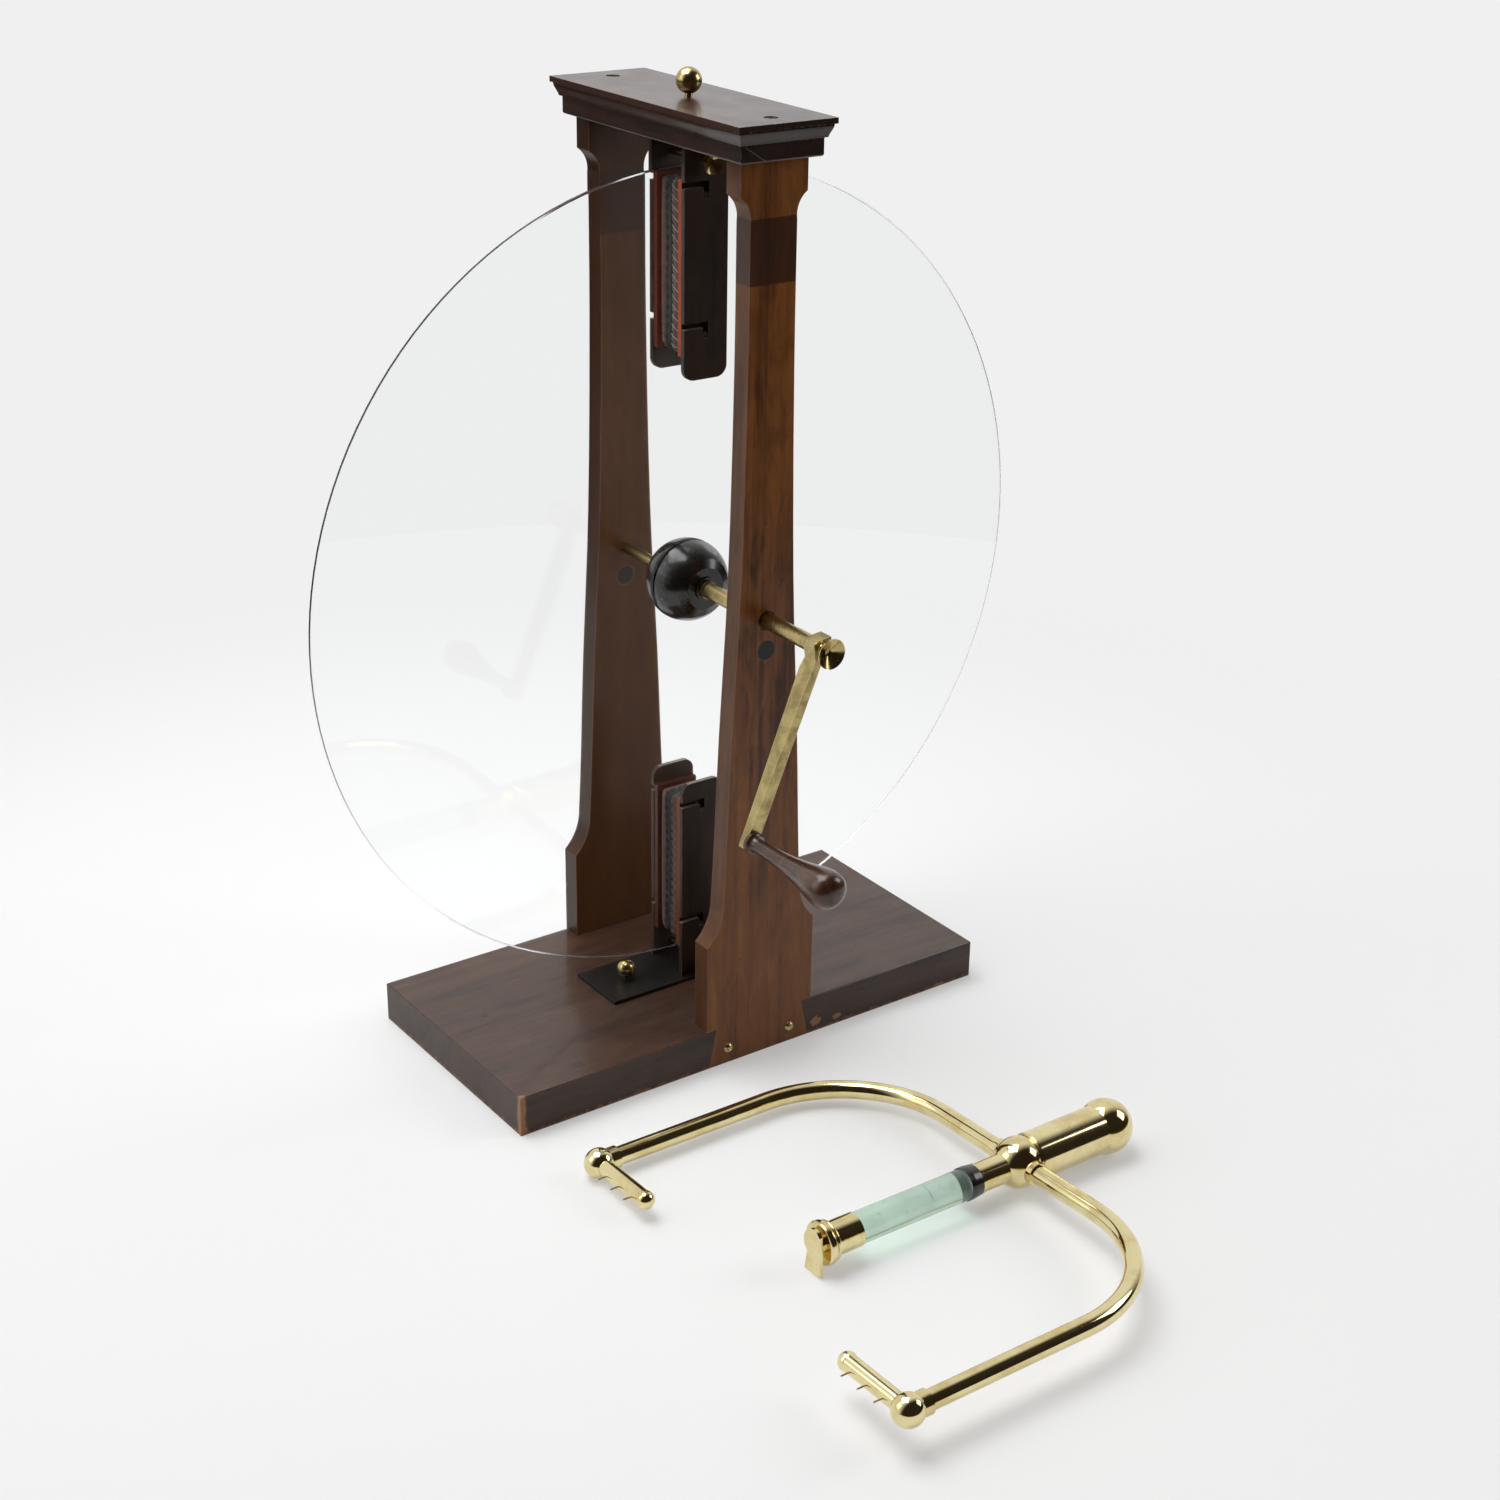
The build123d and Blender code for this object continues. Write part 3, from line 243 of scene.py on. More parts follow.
class Recipe:
    """The nodes of one material, or of the room."""

    def __init__(self, owner, coordinates="Object"):
        owner.use_nodes = True
        self.owner = owner
        self.tree = owner.node_tree
        self.tree.nodes.clear()
        self.place = self.node("ShaderNodeTexCoord").out(coordinates)
        parts = self.node("ShaderNodeSeparateXYZ", inputs={"Vector": self.place})
        self.x = parts.out("X")
        self.y = parts.out("Y")
        self.z = parts.out("Z")

    def node(self, kind, settings=None, inputs=None):
        made = self.tree.nodes.new(kind)
        for name, setting in (settings or {}).items():
            setattr(made, name, setting)
        for key, given in (inputs or {}).items():
            if isinstance(given, Value):
                self.tree.links.new(given.socket, made.inputs[key])
            elif isinstance(given, tuple) and len(given) == 3 and made.inputs[key].type == "RGBA":
                made.inputs[key].default_value = (*given, 1.0)
            else:
                made.inputs[key].default_value = given
        shown = [socket for socket in made.outputs if socket.enabled]
        return Value(self, shown[0]) if shown else None

    def mix(self, mask, first, second, kind="MIX"):
        """First where the mask is 0 and second where it is 1."""
        settings = {"data_type": "RGBA", "blend_type": kind, "clamp_factor": True}
        return self.node("ShaderNodeMix", settings, {0: mask, 6: tuple(first) if not isinstance(
            first, Value) else first, 7: tuple(second) if not isinstance(second, Value) else second})

    def rise(self, value, low, high):
        """0 below low and 1 above high, with a smooth step between."""
        return self.node(
            "ShaderNodeMapRange", {"interpolation_type": "SMOOTHSTEP"},
            {"Value": value, "From Min": low, "From Max": high, "To Min": 0.0, "To Max": 1.0},
        )

    def noise(self, cells, detail=3.0, rough=0.55, warp=0.0, seed=0.0, kind="FBM"):
        """Noise with that many cells to the metre along each axis."""
        stretched = self.node(
            "ShaderNodeMapping", inputs={
                "Vector": self.place, "Location": (seed, seed * 0.7, seed * 1.3), "Scale": cells,
            },
        )
        return self.node(
            "ShaderNodeTexNoise", {"noise_type": kind}, {
                "Vector": stretched, "Scale": 1.0, "Detail": detail, "Roughness": rough,
                "Distortion": warp,
            },
        )

    def edge_on(self, axis):
        """How squarely the surface faces along an axis, either way."""
        normal = self.node("ShaderNodeNewGeometry").out("Normal")
        return abs(self.node("ShaderNodeSeparateXYZ", inputs={"Vector": normal}).out("XYZ"[axis]))

    def ball(self, centre, radii):
        """Distance from a centre in which each axis counts in its own radius."""
        flat = ((self.x - centre[0]) / radii[0]) ** 2.0 + ((self.y - centre[1]) / radii[1]) ** 2.0
        return (flat + ((self.z - centre[2]) / radii[2]) ** 2.0) ** 0.5

    def spot(self, centre, radii, raggedness=0.0):
        """1 inside a round mark and 0 outside it, with an uneven rim."""
        reach = self.ball(centre, radii)
        if raggedness:
            reach = reach + (self.noise((420.0, 420.0, 420.0), detail=4.0) - 0.5) * raggedness
        return 1.0 - self.rise(reach, 0.75, 1.05)

    def edges(self, radius):
        """1 along sharp edges, found from how the surface would turn if they were rounded."""
        rounded = self.node("ShaderNodeBevel", {"samples": 6}, {"Radius": radius})
        flat = self.node("ShaderNodeNewGeometry").out("Normal")
        turn = self.node(
            "ShaderNodeVectorMath", {"operation": "DOT_PRODUCT"}, {0: rounded, 1: flat}
        ).out("Value")
        return self.rise(1.0 - turn, 0.02, 0.16)

    def bump(self, height, depth, under=None):
        inputs = {"Height": height, "Distance": depth, "Strength": 1.0}
        if under is not None:
            inputs["Normal"] = under
        return self.node("ShaderNodeBump", inputs=inputs)

    def close(self, sockets):
        """Ends the recipe with one Principled shader."""
        return self.output(self.node("ShaderNodeBsdfPrincipled", inputs=sockets))

    def output(self, surface, kind="ShaderNodeOutputMaterial"):
        self.node(kind, inputs={"Surface": surface})
        return self.owner


def finish(name):
    """Starts the recipe of a new material."""
    return Recipe(bpy.data.materials.new(name))


def along_axis(along, across_cells, along_cells):
    cells = [across_cells] * 3
    cells[along] = along_cells
    return tuple(cells)


def grain(recipe, along, dark, mid, pale, seed=0.0, figure=1.0):
    """Mahogany colour and surface height, with the grain running along one axis."""
    broad = recipe.noise(along_axis(along, 46.0, 2.4), detail=2.0, warp=0.6, seed=seed)
    streak = recipe.noise(along_axis(along, 420.0, 7.0), detail=4.0, rough=0.6, seed=seed + 3.1)
    ribbon = recipe.noise(along_axis(along, 90.0, 22.0), detail=2.0, warp=1.2, seed=seed + 7.7)
    pore = recipe.noise(along_axis(along, 1500.0, 70.0), detail=2.0, rough=0.5, seed=seed + 11.0)
    tone = broad * 0.5 + streak * 0.2 + ribbon * 0.3
    darker = recipe.mix(recipe.rise(tone, 0.32, 0.54), dark, mid)
    body = recipe.mix(recipe.rise(tone, 0.5, 0.74) * figure, darker, pale)
    pores = 1.0 - recipe.rise(pore, 0.3, 0.42)
    body = recipe.mix(pores * 0.4, body, dark)
    height = streak * 0.35 - pores * 0.65
    return body, height


def polished_wood(recipe, body, height, rough, coat, depth=0.00006, sheen=0.35):
    """Closes a wood with its polish: a clear coat over a duller body, dulled further by handling."""
    smear = recipe.noise((28.0, 28.0, 28.0), detail=4.0, rough=0.62, seed=5.0)
    dust = recipe.noise((900.0, 900.0, 900.0), detail=2.0, seed=9.0)
    dull = rough + (smear - 0.5) * 0.22 + (dust - 0.5) * 0.08
    return recipe.close({
        "Base Color": body, "Roughness": dull, "Coat Weight": coat * (1.25 - smear * 0.5),
        "Coat Roughness": 0.14, "Specular IOR Level": sheen, "Normal": recipe.bump(height, depth),
    })


def dress(material, *nodes):
    """Gives the carried-over parts their finish."""
    for name in nodes:
        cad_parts[name].data.materials.clear()
        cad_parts[name].data.materials.append(material)


def base_wood(woods):
    recipe = finish("base_mahogany")
    low, high = BASE
    seam_place = 0.003
    wobble = (recipe.noise((14.0, 1.0, 1.0), detail=2.0) - 0.5) * 0.004
    seam = abs(recipe.y - seam_place - wobble)
    board = recipe.rise(recipe.y - seam_place - wobble, -0.0002, 0.0002)
    near, near_height = grain(recipe, 0, woods.base_dark, woods.base_mid, woods.base_pale, 1.0, 0.7)
    far, far_height = grain(recipe, 0, woods.base_dark, woods.base_mid, woods.base_pale, 14.0, 0.7)
    body = recipe.mix(board, near, far)
    height = near_height * (1.0 - board) + far_height * board

    top = recipe.rise(recipe.z, high.z - 0.0012, high.z - 0.0008)
    sides = 1.0 - top
    end = recipe.rise(abs(recipe.x), high.x - 0.0006, high.x - 0.0003)
    rays = recipe.noise((1.0, 520.0, 60.0), detail=4.0, seed=2.0)
    body = recipe.mix(end * recipe.rise(rays, 0.42, 0.62) * 0.5, body, woods.base_dark)
    body = recipe.mix(sides * 0.2, body, woods.base_dark)

    crack = 1.0 - recipe.rise(seam, 0.0001, 0.00042)
    for place, lean in ((0.036, 0.55), (-0.035, -0.1), (-0.068, 0.2)):
        across = abs(recipe.y - place - (recipe.z - 0.015) * lean - wobble * 0.4)
        crack = crack.most(end * (1.0 - recipe.rise(across, 0.00005, 0.0003)))
    flaws = recipe.spot((-0.191, 0.0006, high.z), (0.0034, 0.0016, 0.004), 0.5)
    flaws = flaws.most(recipe.spot((-0.1711, 0.0134, high.z), (0.0022, 0.0026, 0.004), 0.6))
    flaws = flaws.most(recipe.spot((-0.149, -0.0846, high.z), (0.0062, 0.0042, 0.004), 1.1) * 0.7)
    flaws = flaws.most(recipe.spot((0.118, -0.06, high.z), (0.003, 0.0012, 0.004), 0.7) * 0.6)
    marks = crack.most(flaws)
    body = recipe.mix(marks * 0.85, body, woods.base_dark)

    stain = recipe.spot((-0.05, -0.06, high.z), (0.075, 0.034, 0.02), 1.3) * top
    body = recipe.mix(stain * 0.45, body, woods.base_dark)

    corner = ((recipe.x - low.x) ** 2.0 + (recipe.y - low.y) ** 2.0) ** 0.5
    ragged = recipe.noise((260.0, 260.0, 90.0), detail=5.0, seed=4.0)
    bare_and_highlight_mask = (1.0 - recipe.rise(corner + (ragged - 0.5) * 0.006, 0.0032, 0.0058)) * 0.85
    chips = recipe.spot((0.0535, low.y, 0.0085), (0.0052, 0.003, 0.0042), 1.4)
    chips = chips.most(recipe.spot((0.0735, low.y, 0.0062), (0.0048, 0.003, 0.0024), 1.5))
    chips = chips.most(recipe.spot((0.176, low.y, 0.0015), (0.006, 0.003, 0.002), 1.2))
    foot = sides * (1.0 - recipe.rise(recipe.z + (ragged - 0.5) * 0.01, 0.0008, 0.0024)) * 0.5
    # Pale bare wood along the edges: partly wear, partly a painted highlight.
    rubbed_and_highlight = recipe.edges(0.0012) * recipe.rise(ragged, 0.44, 0.62)
    bare_and_highlight_mask = bare_and_highlight_mask.most(chips).most(foot).most(rubbed_and_highlight * 0.4)
    body = recipe.mix(bare_and_highlight_mask, body, woods.bare_wood_and_highlight)
    height = height - marks * 3.0 - bare_and_highlight_mask * 1.2
    return polished_wood(recipe, body, height, 0.42, 0.12 + top * 0.3, 0.00009, 0.3)


def pillar_wood(woods, name, seed, lit_share):
    recipe = finish(name)
    # This share is painted shade: it scales the pillar's colours down and blends in dark brown, 1 for the
    # front pillar and 0.3 for the rear one.
    pale = tuple(channel * lit_share for channel in woods.pillar_pale)
    mid = tuple(channel * lit_share for channel in woods.pillar_mid)
    body, height = grain(recipe, 2, woods.pillar_dark, mid, pale, seed)
    low, high = FRONT_PILLAR
    reach = high.z - low.z
    low_part = 1.0 - recipe.rise(recipe.z, reach * 0.2, reach * 0.62)
    body = recipe.mix(low_part * 0.3, body, woods.base_mid)
    smoke = recipe.noise((16.0, 16.0, 5.0), detail=4.0, rough=0.6, warp=0.7, seed=seed + 2.0)
    body = recipe.mix(recipe.rise(smoke, 0.48, 0.7) * 0.65, body, woods.pillar_dark)
    # Painted shade: faces that look along X are darkened towards the base's darkest brown, so the pillar's
    # sides read darker than its front.
    flank = recipe.rise(recipe.edge_on(0), 0.6, 0.9)
    body = recipe.mix(flank * 0.58, body, woods.base_dark)
    body = recipe.mix((1.0 - lit_share) * 0.45, body, woods.base_dark)
    streak = recipe.noise((60.0, 60.0, 1.6), detail=2.0, seed=seed + 5.0)
    body = recipe.mix(recipe.rise(streak, 0.56, 0.68) * 0.14, body, woods.base_dark)

    ragged = recipe.noise((300.0, 300.0, 14.0), detail=3.0, seed=seed + 1.0)
    edge_run = recipe.z + (ragged - 0.5) * 0.0016
    band = recipe.rise(edge_run, 0.5866, 0.5872) * (1.0 - recipe.rise(edge_run, 0.6306, 0.6312))
    body = recipe.mix(band * 0.82, body, woods.band)
    # Pale bare wood along the edges: partly wear, partly a painted highlight.
    edge_marks = recipe.edges(0.0016)
    body = recipe.mix(edge_marks * 0.42 * (1.0 - band * 0.7), body, woods.bare_wood_and_highlight)
    specks = recipe.rise(recipe.noise((330.0, 330.0, 200.0), detail=1.0, seed=seed), 0.76, 0.8)
    body = recipe.mix(specks * 0.6, body, woods.pillar_dark)
    return polished_wood(recipe, body, height, 0.4, 0.12, sheen=0.22)


def cornice_wood(woods):
    recipe = finish("cornice_mahogany")
    body, height = grain(recipe, 1, woods.cornice_dark, woods.cornice_mid, woods.cornice_pale, 21.0)
    low, high = CORNICE
    near_end = 1.0 - recipe.rise(recipe.y, low.y + 0.004, low.y + 0.03)
    # Pale grey along the edges, strongest near the -Y end: partly wear, partly painted highlights on the
    # mouldings.
    ragged = recipe.noise((520.0, 520.0, 520.0), detail=4.0, seed=6.0)
    rubbed_and_highlight = recipe.edges(0.001) * recipe.rise(ragged, 0.5, 0.62)
    chips = rubbed_and_highlight * (0.12 + near_end * 0.75)
    body = recipe.mix(near_end * 0.25, body, woods.ebonised)
    body = recipe.mix(chips, body, woods.rubbed_and_highlight)
    crack = abs(recipe.x + 0.012 + (recipe.z - low.z) * 1.6)
    end = 1.0 - recipe.rise(recipe.y, low.y + 0.006, low.y + 0.01)
    frieze = 1.0 - recipe.rise(recipe.z, low.z + 0.010, low.z + 0.012)
    split = (1.0 - recipe.rise(crack, 0.0001, 0.0004)) * end * frieze
    body = recipe.mix(split * 0.6, body, woods.bare_wood_and_highlight)
    return polished_wood(recipe, body, height - split * 2.0, 0.34, 0.4, 0.00004)


def board_wood(woods):
    recipe = finish("black_board")
    body, height = grain(recipe, 2, woods.board_dark, woods.board_mid, woods.base_mid, 31.0, 0.5)
    ragged = recipe.noise((380.0, 380.0, 60.0), detail=3.0, seed=3.0)
    # Pale grey along the edges: partly wear, partly a painted highlight.
    rubbed_and_highlight = recipe.edges(0.0007) * recipe.rise(ragged, 0.42, 0.6)
    body = recipe.mix(rubbed_and_highlight * 0.38, body, woods.rubbed_and_highlight)
    # Painted light: faces that look up or down, such as the slots' lower faces, are made pale.
    body = recipe.mix(recipe.rise(recipe.edge_on(2), 0.9, 0.98) * 0.45, body, woods.rubbed_and_highlight)
    warm = recipe.noise((22.0, 22.0, 14.0), detail=3.0, seed=12.0)
    body = recipe.mix(recipe.rise(warm, 0.46, 0.64) * 0.4, body, woods.base_mid)
    return polished_wood(recipe, body, height, 0.46, 0.06, sheen=0.25)


def turned_black(woods, name, coat):
    """Black stained wood with the lines that the lathe left round the axle."""
    recipe = finish(name)
    axis_z = (AXLE[0].z + AXLE[1].z) / 2
    out = (recipe.x ** 2.0 + (recipe.z - axis_z) ** 2.0) ** 0.5
    rings = (out * 5200.0 + recipe.noise((30.0, 30.0, 30.0)) * 6.0).sine()
    scuffs = recipe.noise((240.0, 60.0, 900.0), detail=4.0, rough=0.7, warp=1.4, seed=2.0)
    mottle = recipe.noise((70.0, 70.0, 70.0), detail=4.0, seed=8.0)
    body = recipe.mix(recipe.rise(scuffs, 0.64, 0.76) * 0.16, woods.ebonised, woods.rubbed_and_highlight)
    body = recipe.mix(recipe.rise(mottle, 0.52, 0.7) * 0.35, body, woods.base_dark)
    # Pale grey along the edges: partly wear, partly a painted highlight.
    body = recipe.mix(recipe.edges(0.0008) * 0.14, body, woods.rubbed_and_highlight)
    return polished_wood(recipe, body, rings * 0.2 + scuffs * 0.6, 0.42 - coat * 0.2, coat, 0.00002, 0.3)


def grip_wood(woods):
    recipe = finish("grip_wood")
    body, height = grain(recipe, 1, woods.grip_dark, woods.grip_mid, woods.grip_pale, 41.0)
    low, high = GRIP
    axis_x = (low.x + high.x) / 2
    ring = abs(recipe.y - (low.y * 0.42 + high.y * 0.58))
    handled = recipe.noise((60.0, 34.0, 60.0), detail=4.0, seed=3.0)
    body = recipe.mix(recipe.rise(handled, 0.5, 0.7) * 0.5, body, woods.grip_dark)
    scratch = (1.0 - recipe.rise(ring, 0.00008, 0.00028)) * recipe.rise(recipe.x, axis_x - 0.02, axis_x)
    body = recipe.mix(scratch * 0.4, body, woods.rubbed_and_highlight)
    return polished_wood(recipe, body, height, 0.3, 0.45, 0.00003)


def red_lacquer(rubbers, woods, node, soot_and_shade):
    """Brick red lacquer on the sides of a rubber's back, browned by soot and, on the darker rubbers, by
    painted shade, and bare wood behind.
    """
    recipe = finish(node + "_lacquer")
    brush = recipe.noise((200.0, 200.0, 12.0), detail=4.0, seed=1.0)
    age = recipe.noise((45.0, 45.0, 30.0), detail=4.0, rough=0.65, seed=7.0)
    body = recipe.mix(recipe.rise(age, 0.46, 0.74) * 0.55, rubbers.lacquer, woods.pillar_dark)
    low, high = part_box(node)
    outer = max(abs(low.y), abs(high.y))
    behind = recipe.rise(abs(recipe.y), outer - 0.0004, outer - 0.0001)
    body = recipe.mix(soot_and_shade, body, woods.soot_and_shade_brown)
    body = recipe.mix(behind, body, woods.base_dark)
    edge_marks = recipe.edges(0.0006) * recipe.rise(recipe.noise((600.0, 600.0, 300.0)), 0.5, 0.62)
    body = recipe.mix(edge_marks * 0.5, body, woods.base_dark)
    return polished_wood(recipe, body, brush, 0.46, 0.05, 0.00008, 0.2)


def bright_brass(metals, name, along=None):
    """Polished brass with fine polishing lines and a little toning where hands don't reach."""
    recipe = finish(name)
    cells = (1400.0, 1400.0, 1400.0) if along is None else along
    lines = recipe.noise(cells, detail=3.0, rough=0.7)
    tone = recipe.noise((34.0, 34.0, 34.0), detail=5.0, rough=0.6, seed=6.0)
    fleck = recipe.rise(recipe.noise((520.0, 520.0, 520.0), detail=2.0, seed=4.0), 0.7, 0.76)
    body = recipe.mix(recipe.rise(tone, 0.4, 0.7) * 0.7, metals.polished, metals.polished_deep)
    body = recipe.mix(fleck * 0.5, body, metals.tarnish)
    return recipe.close({
        "Base Color": body, "Metallic": 1.0,
        "Roughness": 0.06 + tone * 0.05 + lines * 0.03 + fleck * 0.15,
        "Normal": recipe.bump(lines, 0.0000006),
    })


def aged_brass(metals, name, film, seed, cells=(700.0, 700.0, 700.0), rough=0.24):
    """Old brass, brown where film has grown and bright along its handled edges."""
    recipe = finish(name)
    cloud = recipe.noise((65.0, 65.0, 65.0), detail=5.0, rough=0.65, warp=0.6, seed=seed)
    lines = recipe.noise(cells, detail=3.0, rough=0.6, seed=seed + 1.0)
    pits = recipe.rise(recipe.noise((420.0, 420.0, 420.0), detail=3.0, seed=seed + 2.0), 0.66, 0.72)
    handled = recipe.edges(0.0009)
    filmed = (recipe.rise(cloud, 0.4, 0.68) * film).most(pits * 0.8) * (1.0 - handled * 0.7)
    body = recipe.mix(filmed, metals.aged, metals.tarnish)
    body = recipe.mix(handled * 0.5, body, metals.polished)
    return recipe.close({
        "Base Color": body, "Metallic": 1.0,
        "Roughness": rough + filmed * 0.22 + lines * 0.06,
        "Normal": recipe.bump(lines - pits * 2.0, 0.00002),
    })


def dark_steel(metals):
    recipe = finish("dark_steel")
    rust = recipe.noise((260.0, 260.0, 260.0), detail=4.0, rough=0.65)
    body = recipe.mix(recipe.rise(rust, 0.45, 0.62), metals.steel, metals.tarnish)
    return recipe.close({
        "Base Color": body, "Metallic": 0.7, "Roughness": 0.34 + rust * 0.3,
        "Normal": recipe.bump(rust, 0.00008),
    })


def plate_glass(metals):
    """Clear plate whose shadow stays light, with wipe marks that only dull its gloss."""
    recipe = finish("clear_glass")
    axis_z = (PLATE[0].z + PLATE[1].z) / 2
    wipe = recipe.noise((9.0, 9.0, 26.0), detail=5.0, rough=0.6, warp=0.8)
    out = (recipe.x ** 2.0 + (recipe.z - axis_z) ** 2.0) ** 0.5
    rim = recipe.rise(out, PLATE[1].x - 0.0014, PLATE[1].x - 0.0006)
    glass = recipe.node("ShaderNodeBsdfPrincipled", inputs={
        "Base Color": tuple(metals.clear_glass), "Transmission Weight": 1.0, "IOR": 1.36,
        "Roughness": rim * 0.22 + recipe.rise(wipe, 0.6, 0.8) * 0.02,
    })
    clear = recipe.node("ShaderNodeBsdfTransparent", inputs={"Color": (0.96, 0.98, 0.97)})
    shadow = recipe.node("ShaderNodeLightPath").out("Is Shadow Ray")
    return recipe.output(recipe.node("ShaderNodeMixShader", inputs={0: shadow, 1: glass, 2: clear}))


def rod_glass(metals):
    """Pale green rod, drawn by hand, with seeds and threads in the glass."""
    recipe = finish("green_glass")
    low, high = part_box("glass_rod")
    draw = recipe.noise((20.0, 460.0, 460.0), detail=3.0, warp=0.4)
    cloud = recipe.noise((70.0, 110.0, 110.0), detail=4.0, seed=3.0)
    seeds = recipe.rise(recipe.noise((700.0, 900.0, 900.0), detail=1.0, seed=5.0), 0.74, 0.78)
    middle = abs(recipe.x - (low.x * 0.34 + high.x * 0.66))
    flaw = (1.0 - recipe.rise(middle, 0.0001, 0.0004)) * recipe.rise(recipe.z, 0.024, 0.028)
    under = abs(recipe.z - (low.z * 0.72 + high.z * 0.28) - (draw - 0.5) * 0.0012)
    flaw = flaw.most((1.0 - recipe.rise(under, 0.00025, 0.0006)) * recipe.rise(cloud, 0.36, 0.5))
    deep = tuple(channel * 0.62 for channel in metals.green_glass)
    body = recipe.mix(recipe.rise(cloud, 0.4, 0.7) * 0.35, metals.green_glass, deep)
    body = recipe.mix(seeds.most(flaw) * 0.7, body, metals.steel)
    glass = recipe.node("ShaderNodeBsdfPrincipled", inputs={
        "Base Color": body, "Transmission Weight": 0.86, "IOR": 1.46,
        "Roughness": 0.02 + recipe.rise(cloud, 0.5, 0.8) * 0.05,
        "Normal": recipe.bump(draw, 0.000012),
    })
    clear = recipe.node(
        "ShaderNodeBsdfTransparent", inputs={"Color": tuple(metals.green_glass)}
    )
    shadow = recipe.node("ShaderNodeLightPath").out("Is Shadow Ray")
    return recipe.output(recipe.node("ShaderNodeMixShader", inputs={0: shadow, 1: glass, 2: clear}))


def rubber_leather(rubbers, name, face_y, side, soot_and_shade):
    """Leather, grey with amalgam on the face and brown on the flanks."""
    recipe = finish(name)
    depth = (recipe.y - face_y) * side
    hide = recipe.noise((900.0, 900.0, 900.0), detail=4.0, rough=0.7)
    crease = recipe.noise((160.0, 260.0, 120.0), detail=3.0, warp=1.0, seed=3.0)
    powder = recipe.noise((60.0, 60.0, 24.0), detail=5.0, rough=0.62, seed=5.0)
    # The face darkens with amalgam powder and with the soot share, which on the darker rubbers is painted
    # shade.
    face = recipe.mix(recipe.rise(powder, 0.4, 0.7).most(soot_and_shade) * 0.75, rubbers.face, (0.018, 0.018, 0.02))
    flank = recipe.mix(recipe.rise(crease, 0.45, 0.7) * 0.6, rubbers.flank, (0.02, 0.011, 0.009))
    body = recipe.mix(recipe.rise(depth, rubbers.lip_inset, rubbers.lip_inset + 0.0008), face, flank)
    return recipe.close({
        "Base Color": body, "Roughness": 0.62 + hide * 0.2, "Sheen Weight": 0.12,
        "Normal": recipe.bump(hide * 0.5 + crease, 0.0002),
    })


def lip_leather(rubbers, name, soot_and_shade):
    """The turned edge of the leather, rubbed pale where soot and, on the darker rubbers, painted shade
    haven't darkened it.
    """
    recipe = finish(name)
    hide = recipe.noise((1100.0, 1100.0, 1100.0), detail=4.0, rough=0.7)
    pale = tuple(min(1.0, channel * 2.4) for channel in rubbers.face)
    body = recipe.mix(recipe.rise(hide, 0.4, 0.65), rubbers.face, pale)
    body = recipe.mix(min(1.0, soot_and_shade * 1.1), body, (0.02, 0.019, 0.019))
    return recipe.close({
        "Base Color": body, "Roughness": 0.7, "Normal": recipe.bump(hide, 0.00014),
    })


def linen_thread(rubbers, name, soot_and_shade):
    """Twisted thread with painted shade between its strands, darkened by soot and, on the darker rubbers,
    by painted shade.
    """
    recipe = finish(name)
    twist = (recipe.z * 9000.0 + recipe.y * 7000.0).sine()
    shade = tuple(channel * 0.55 for channel in rubbers.thread)
    body = recipe.mix(twist * 0.5 + 0.5, rubbers.thread, shade)
    body = recipe.mix(soot_and_shade, body, rubbers.flank)
    return recipe.close({
        "Base Color": body, "Roughness": 0.75, "Normal": recipe.bump(twist, 0.00004),
    })


def made_mesh(name, shape):
    """Turns a bmesh into an object of the scene."""
    mesh = bpy.data.meshes.new(name)
    bmesh.ops.recalc_face_normals(shape, faces=shape.faces[:])
    shape.to_mesh(mesh)
    shape.free()
    mesh.polygons.foreach_set("use_smooth", [True] * len(mesh.polygons))
    made = bpy.data.objects.new(name, mesh)
    bpy.context.scene.collection.objects.link(made)
    return made


def add_tube(shape, points, radii, sides, closed):
    """Adds a tube along points, with a radius at each, capped with a flat face at each end if open."""
    rings = []
    count = len(points)
    for index, point in enumerate(points):
        before = points[index - 1] if index or closed else point
        after = points[(index + 1) % count] if index < count - 1 or closed else point
        run = (after - before).normalized()
        across = run.cross(Vector((0.0, 1.0, 0.0)))
        if across.length < 0.1:
            across = run.cross(Vector((0.0, 0.0, 1.0)))
        across.normalize()
        over = run.cross(across)
        ring = []
        for step in range(sides):
            turn = math.tau * step / sides
            offset = across * math.cos(turn) + over * math.sin(turn)
            ring.append(shape.verts.new(point + offset * radii[index]))
        rings.append(ring)
    pairs = list(zip(rings, rings[1:]))
    if closed:
        pairs.append((rings[-1], rings[0]))
    for first, second in pairs:
        for step in range(sides):
            after = (step + 1) % sides
            shape.faces.new((first[step], first[after], second[after], second[step]))
    if not closed:
        shape.faces.new(rings[0])
        shape.faces.new(rings[-1])


